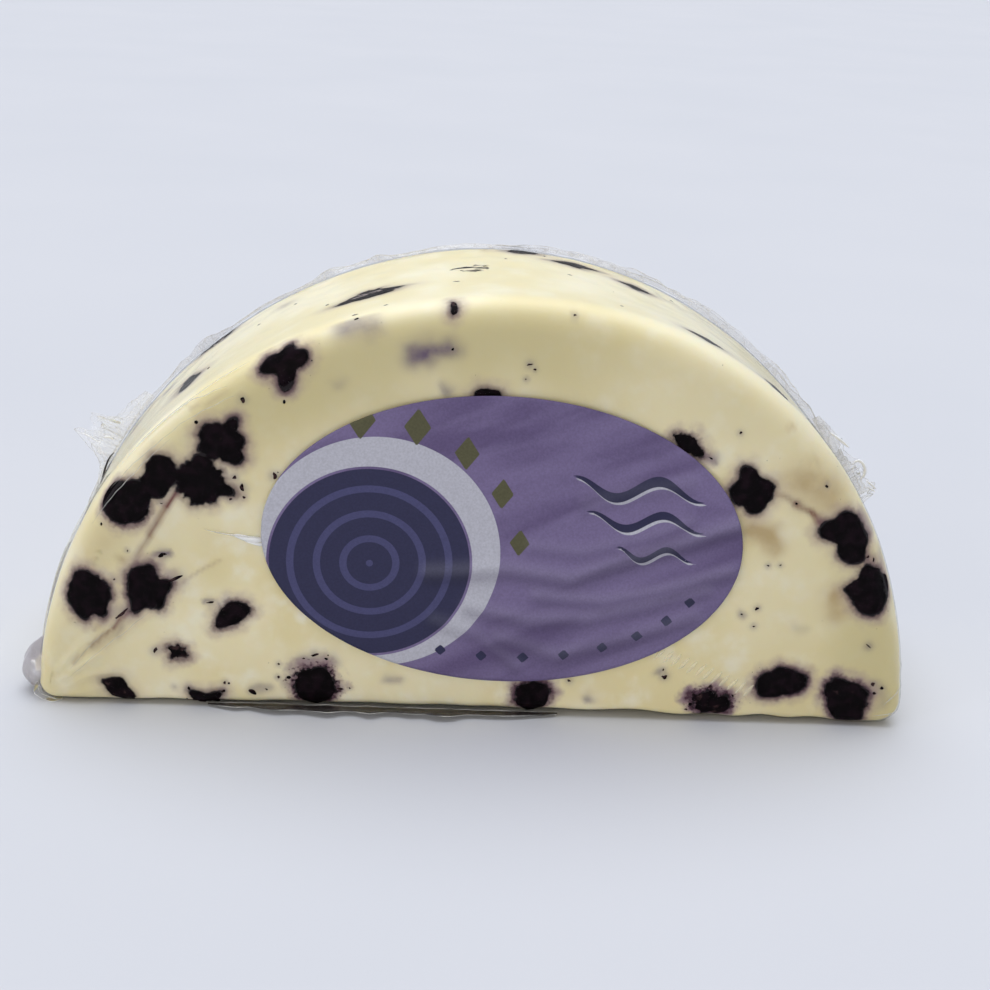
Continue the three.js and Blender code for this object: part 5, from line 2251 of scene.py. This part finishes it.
@dataclass
class Studio:
    """A pale floor, soft light from above and a little behind, and the camera."""

    camera_place: tuple[float, float, float] = (-18.585, -383.355, 192.15)
    pitch: float = radians(20.84)
    yaw: float = radians(-3.13)
    roll: float = radians(3.25)
    lens: float = 59.27
    floor_size: float = 60.0

    def floor(self) -> None:
        """Lays the floor."""
        f = Finish("matt_pale_board")
        drift = f.add("TexNoise", {"Vector": f.place, "Scale": per_mm(160)})
        colour = f.add("Mix", {0: drift, 6: linear("c9cacd"), 7: linear("cfcfd1")}, 2, **TINTS)
        shader = f.add("BsdfPrincipled", {"Base Color": colour, "Roughness": 0.8, "Specular IOR Level": 0.2})
        half = self.floor_size / 2 / MM
        corners = np.array([(-half, -half, 0), (half, -half, 0), (half, half, 0), (-half, half, 0)])
        mesh = mesh_of("floor", corners, [(0, 1, 2, 3)])
        mesh.materials.append(f.surface(shader))
        placed("studio_floor", mesh)

    def sun(self, name: str, towards: Vector, width: float, strength: float, colour: str) -> None:
        """Hangs a soft light that is equally strong everywhere.

        Args:
            name: its name.
            towards: the way to it.
            width: how wide it looks, in degrees.
            strength: watts a square metre.
            colour: its tint.
        """
        light = bpy.data.lights.new(name, "SUN")
        light.angle = radians(width)
        light.energy = strength
        light.color = linear(colour)[:3]
        obj = placed(name, light)
        obj.rotation_euler = (-towards).to_track_quat("-Z", "Y").to_euler()

    def camera(self) -> None:
        """Sets the camera where the photograph was taken from."""
        turn = (Matrix.Rotation(self.pitch, 3, "X") @ Matrix.Rotation(-self.yaw, 3, "Z")).transposed()
        right, forward, up = (turn.col[k] for k in range(3))
        c, s = cos(self.roll), sin(self.roll)
        across, above = c * right + s * up, -s * right + c * up
        view = Matrix((across, above, -forward)).transposed().to_4x4()
        view.translation = Vector(self.camera_place) * MM
        data = bpy.data.cameras.new("camera")
        data.lens = self.lens
        data.sensor_width = 36.0
        obj = placed("camera", data)
        obj.matrix_world = view
        bpy.context.scene.camera = obj

    def build(self) -> None:
        """Makes the floor, the lights and the camera."""
        self.floor()
        self.sun("overhead", Vector((-0.02, 0.14, 1.0)), 64.0, 2.7, "f0f5ff")
        self.sun("front", Vector((-0.35, -1.0, 0.3)), 50.0, 0.46, "fff0c4")
        self.sun("window", Vector((-0.8, -0.5, 0.3)), 14.0, 0.2, "ffffff")
        self.camera()
        world = bpy.data.worlds.new("room")
        world.use_nodes = True
        room = Graph(world.node_tree)
        world.node_tree.nodes.clear()
        # As bright as the floor at the horizon, so that neither ends, and dimmer overhead
        way = room.add("SeparateXYZ", (room.add("TexCoord", out="Generated"),), "Z")
        fade = room.add("MapRange", (way, 0.0, 0.55, 0.88, 0.42), **SOFT)
        sky = room.add("Background", {"Color": linear("e8ebf5"), "Strength": fade})
        room.add("OutputWorld", {"Surface": sky})
        bpy.context.scene.world = world
        bpy.context.scene.view_settings.view_transform = "Standard"


def main() -> None:
    """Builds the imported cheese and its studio."""
    logging.basicConfig(level=logging.INFO, format="%(name)s: %(message)s")
    # Without a seed of its own, the pattern of noise_vector would change with the clock
    noise.seed_set(7)
    form = WheelForm()
    skin = BerryFinish().build()
    FILMS.update((film, film.value.build()) for film in Film)
    maker = BerryMaker(form)
    cheese, surface = CheeseBody(form).build(maker)
    for berry, seat, outline in zip(maker.berries, maker.seats, maker.outlines):
        mesh = maker.lump(berry, seat, outline, surface)
        mesh.materials.append(skin)
        piece(f"blue{berry.node}", mesh, "berry", berry.node)
    Crumbs().build(cheese, skin)
    Flecks().build(form, surface, skin)
    FilmSkin(form).build(cheese)
    strands = FilmStrands(form)
    fine = [c for c in ALL_CREASES if 0 < c.strand <= PLEAT]
    strands.build(surface, "film_crease_ridges", Film.CREASED, fine)
    pleats = [c for c in ALL_CREASES if c.strand > PLEAT]
    # The thicker strands as milky cream pleats: a painted sheen
    strands.build(surface, "film_pleats", Film.PLEATED_SHEEN, pleats[2:])
    # The two thickest, beside the label, as white rolls: a painted glint
    strands.build(surface, "film_pulled_at_label", Film.ROLLED_GLINT, pleats[:2])
    FilmSeam(form).build()
    for ear in EARS:
        FilmEar(form, *ear).build()
    FilmPocket().build(surface)
    FilmLip(form).build()
    FilmBaseFold().build()
    OvalLabel().build(surface)
    Studio().build()


if __name__ == "__main__":
    main()
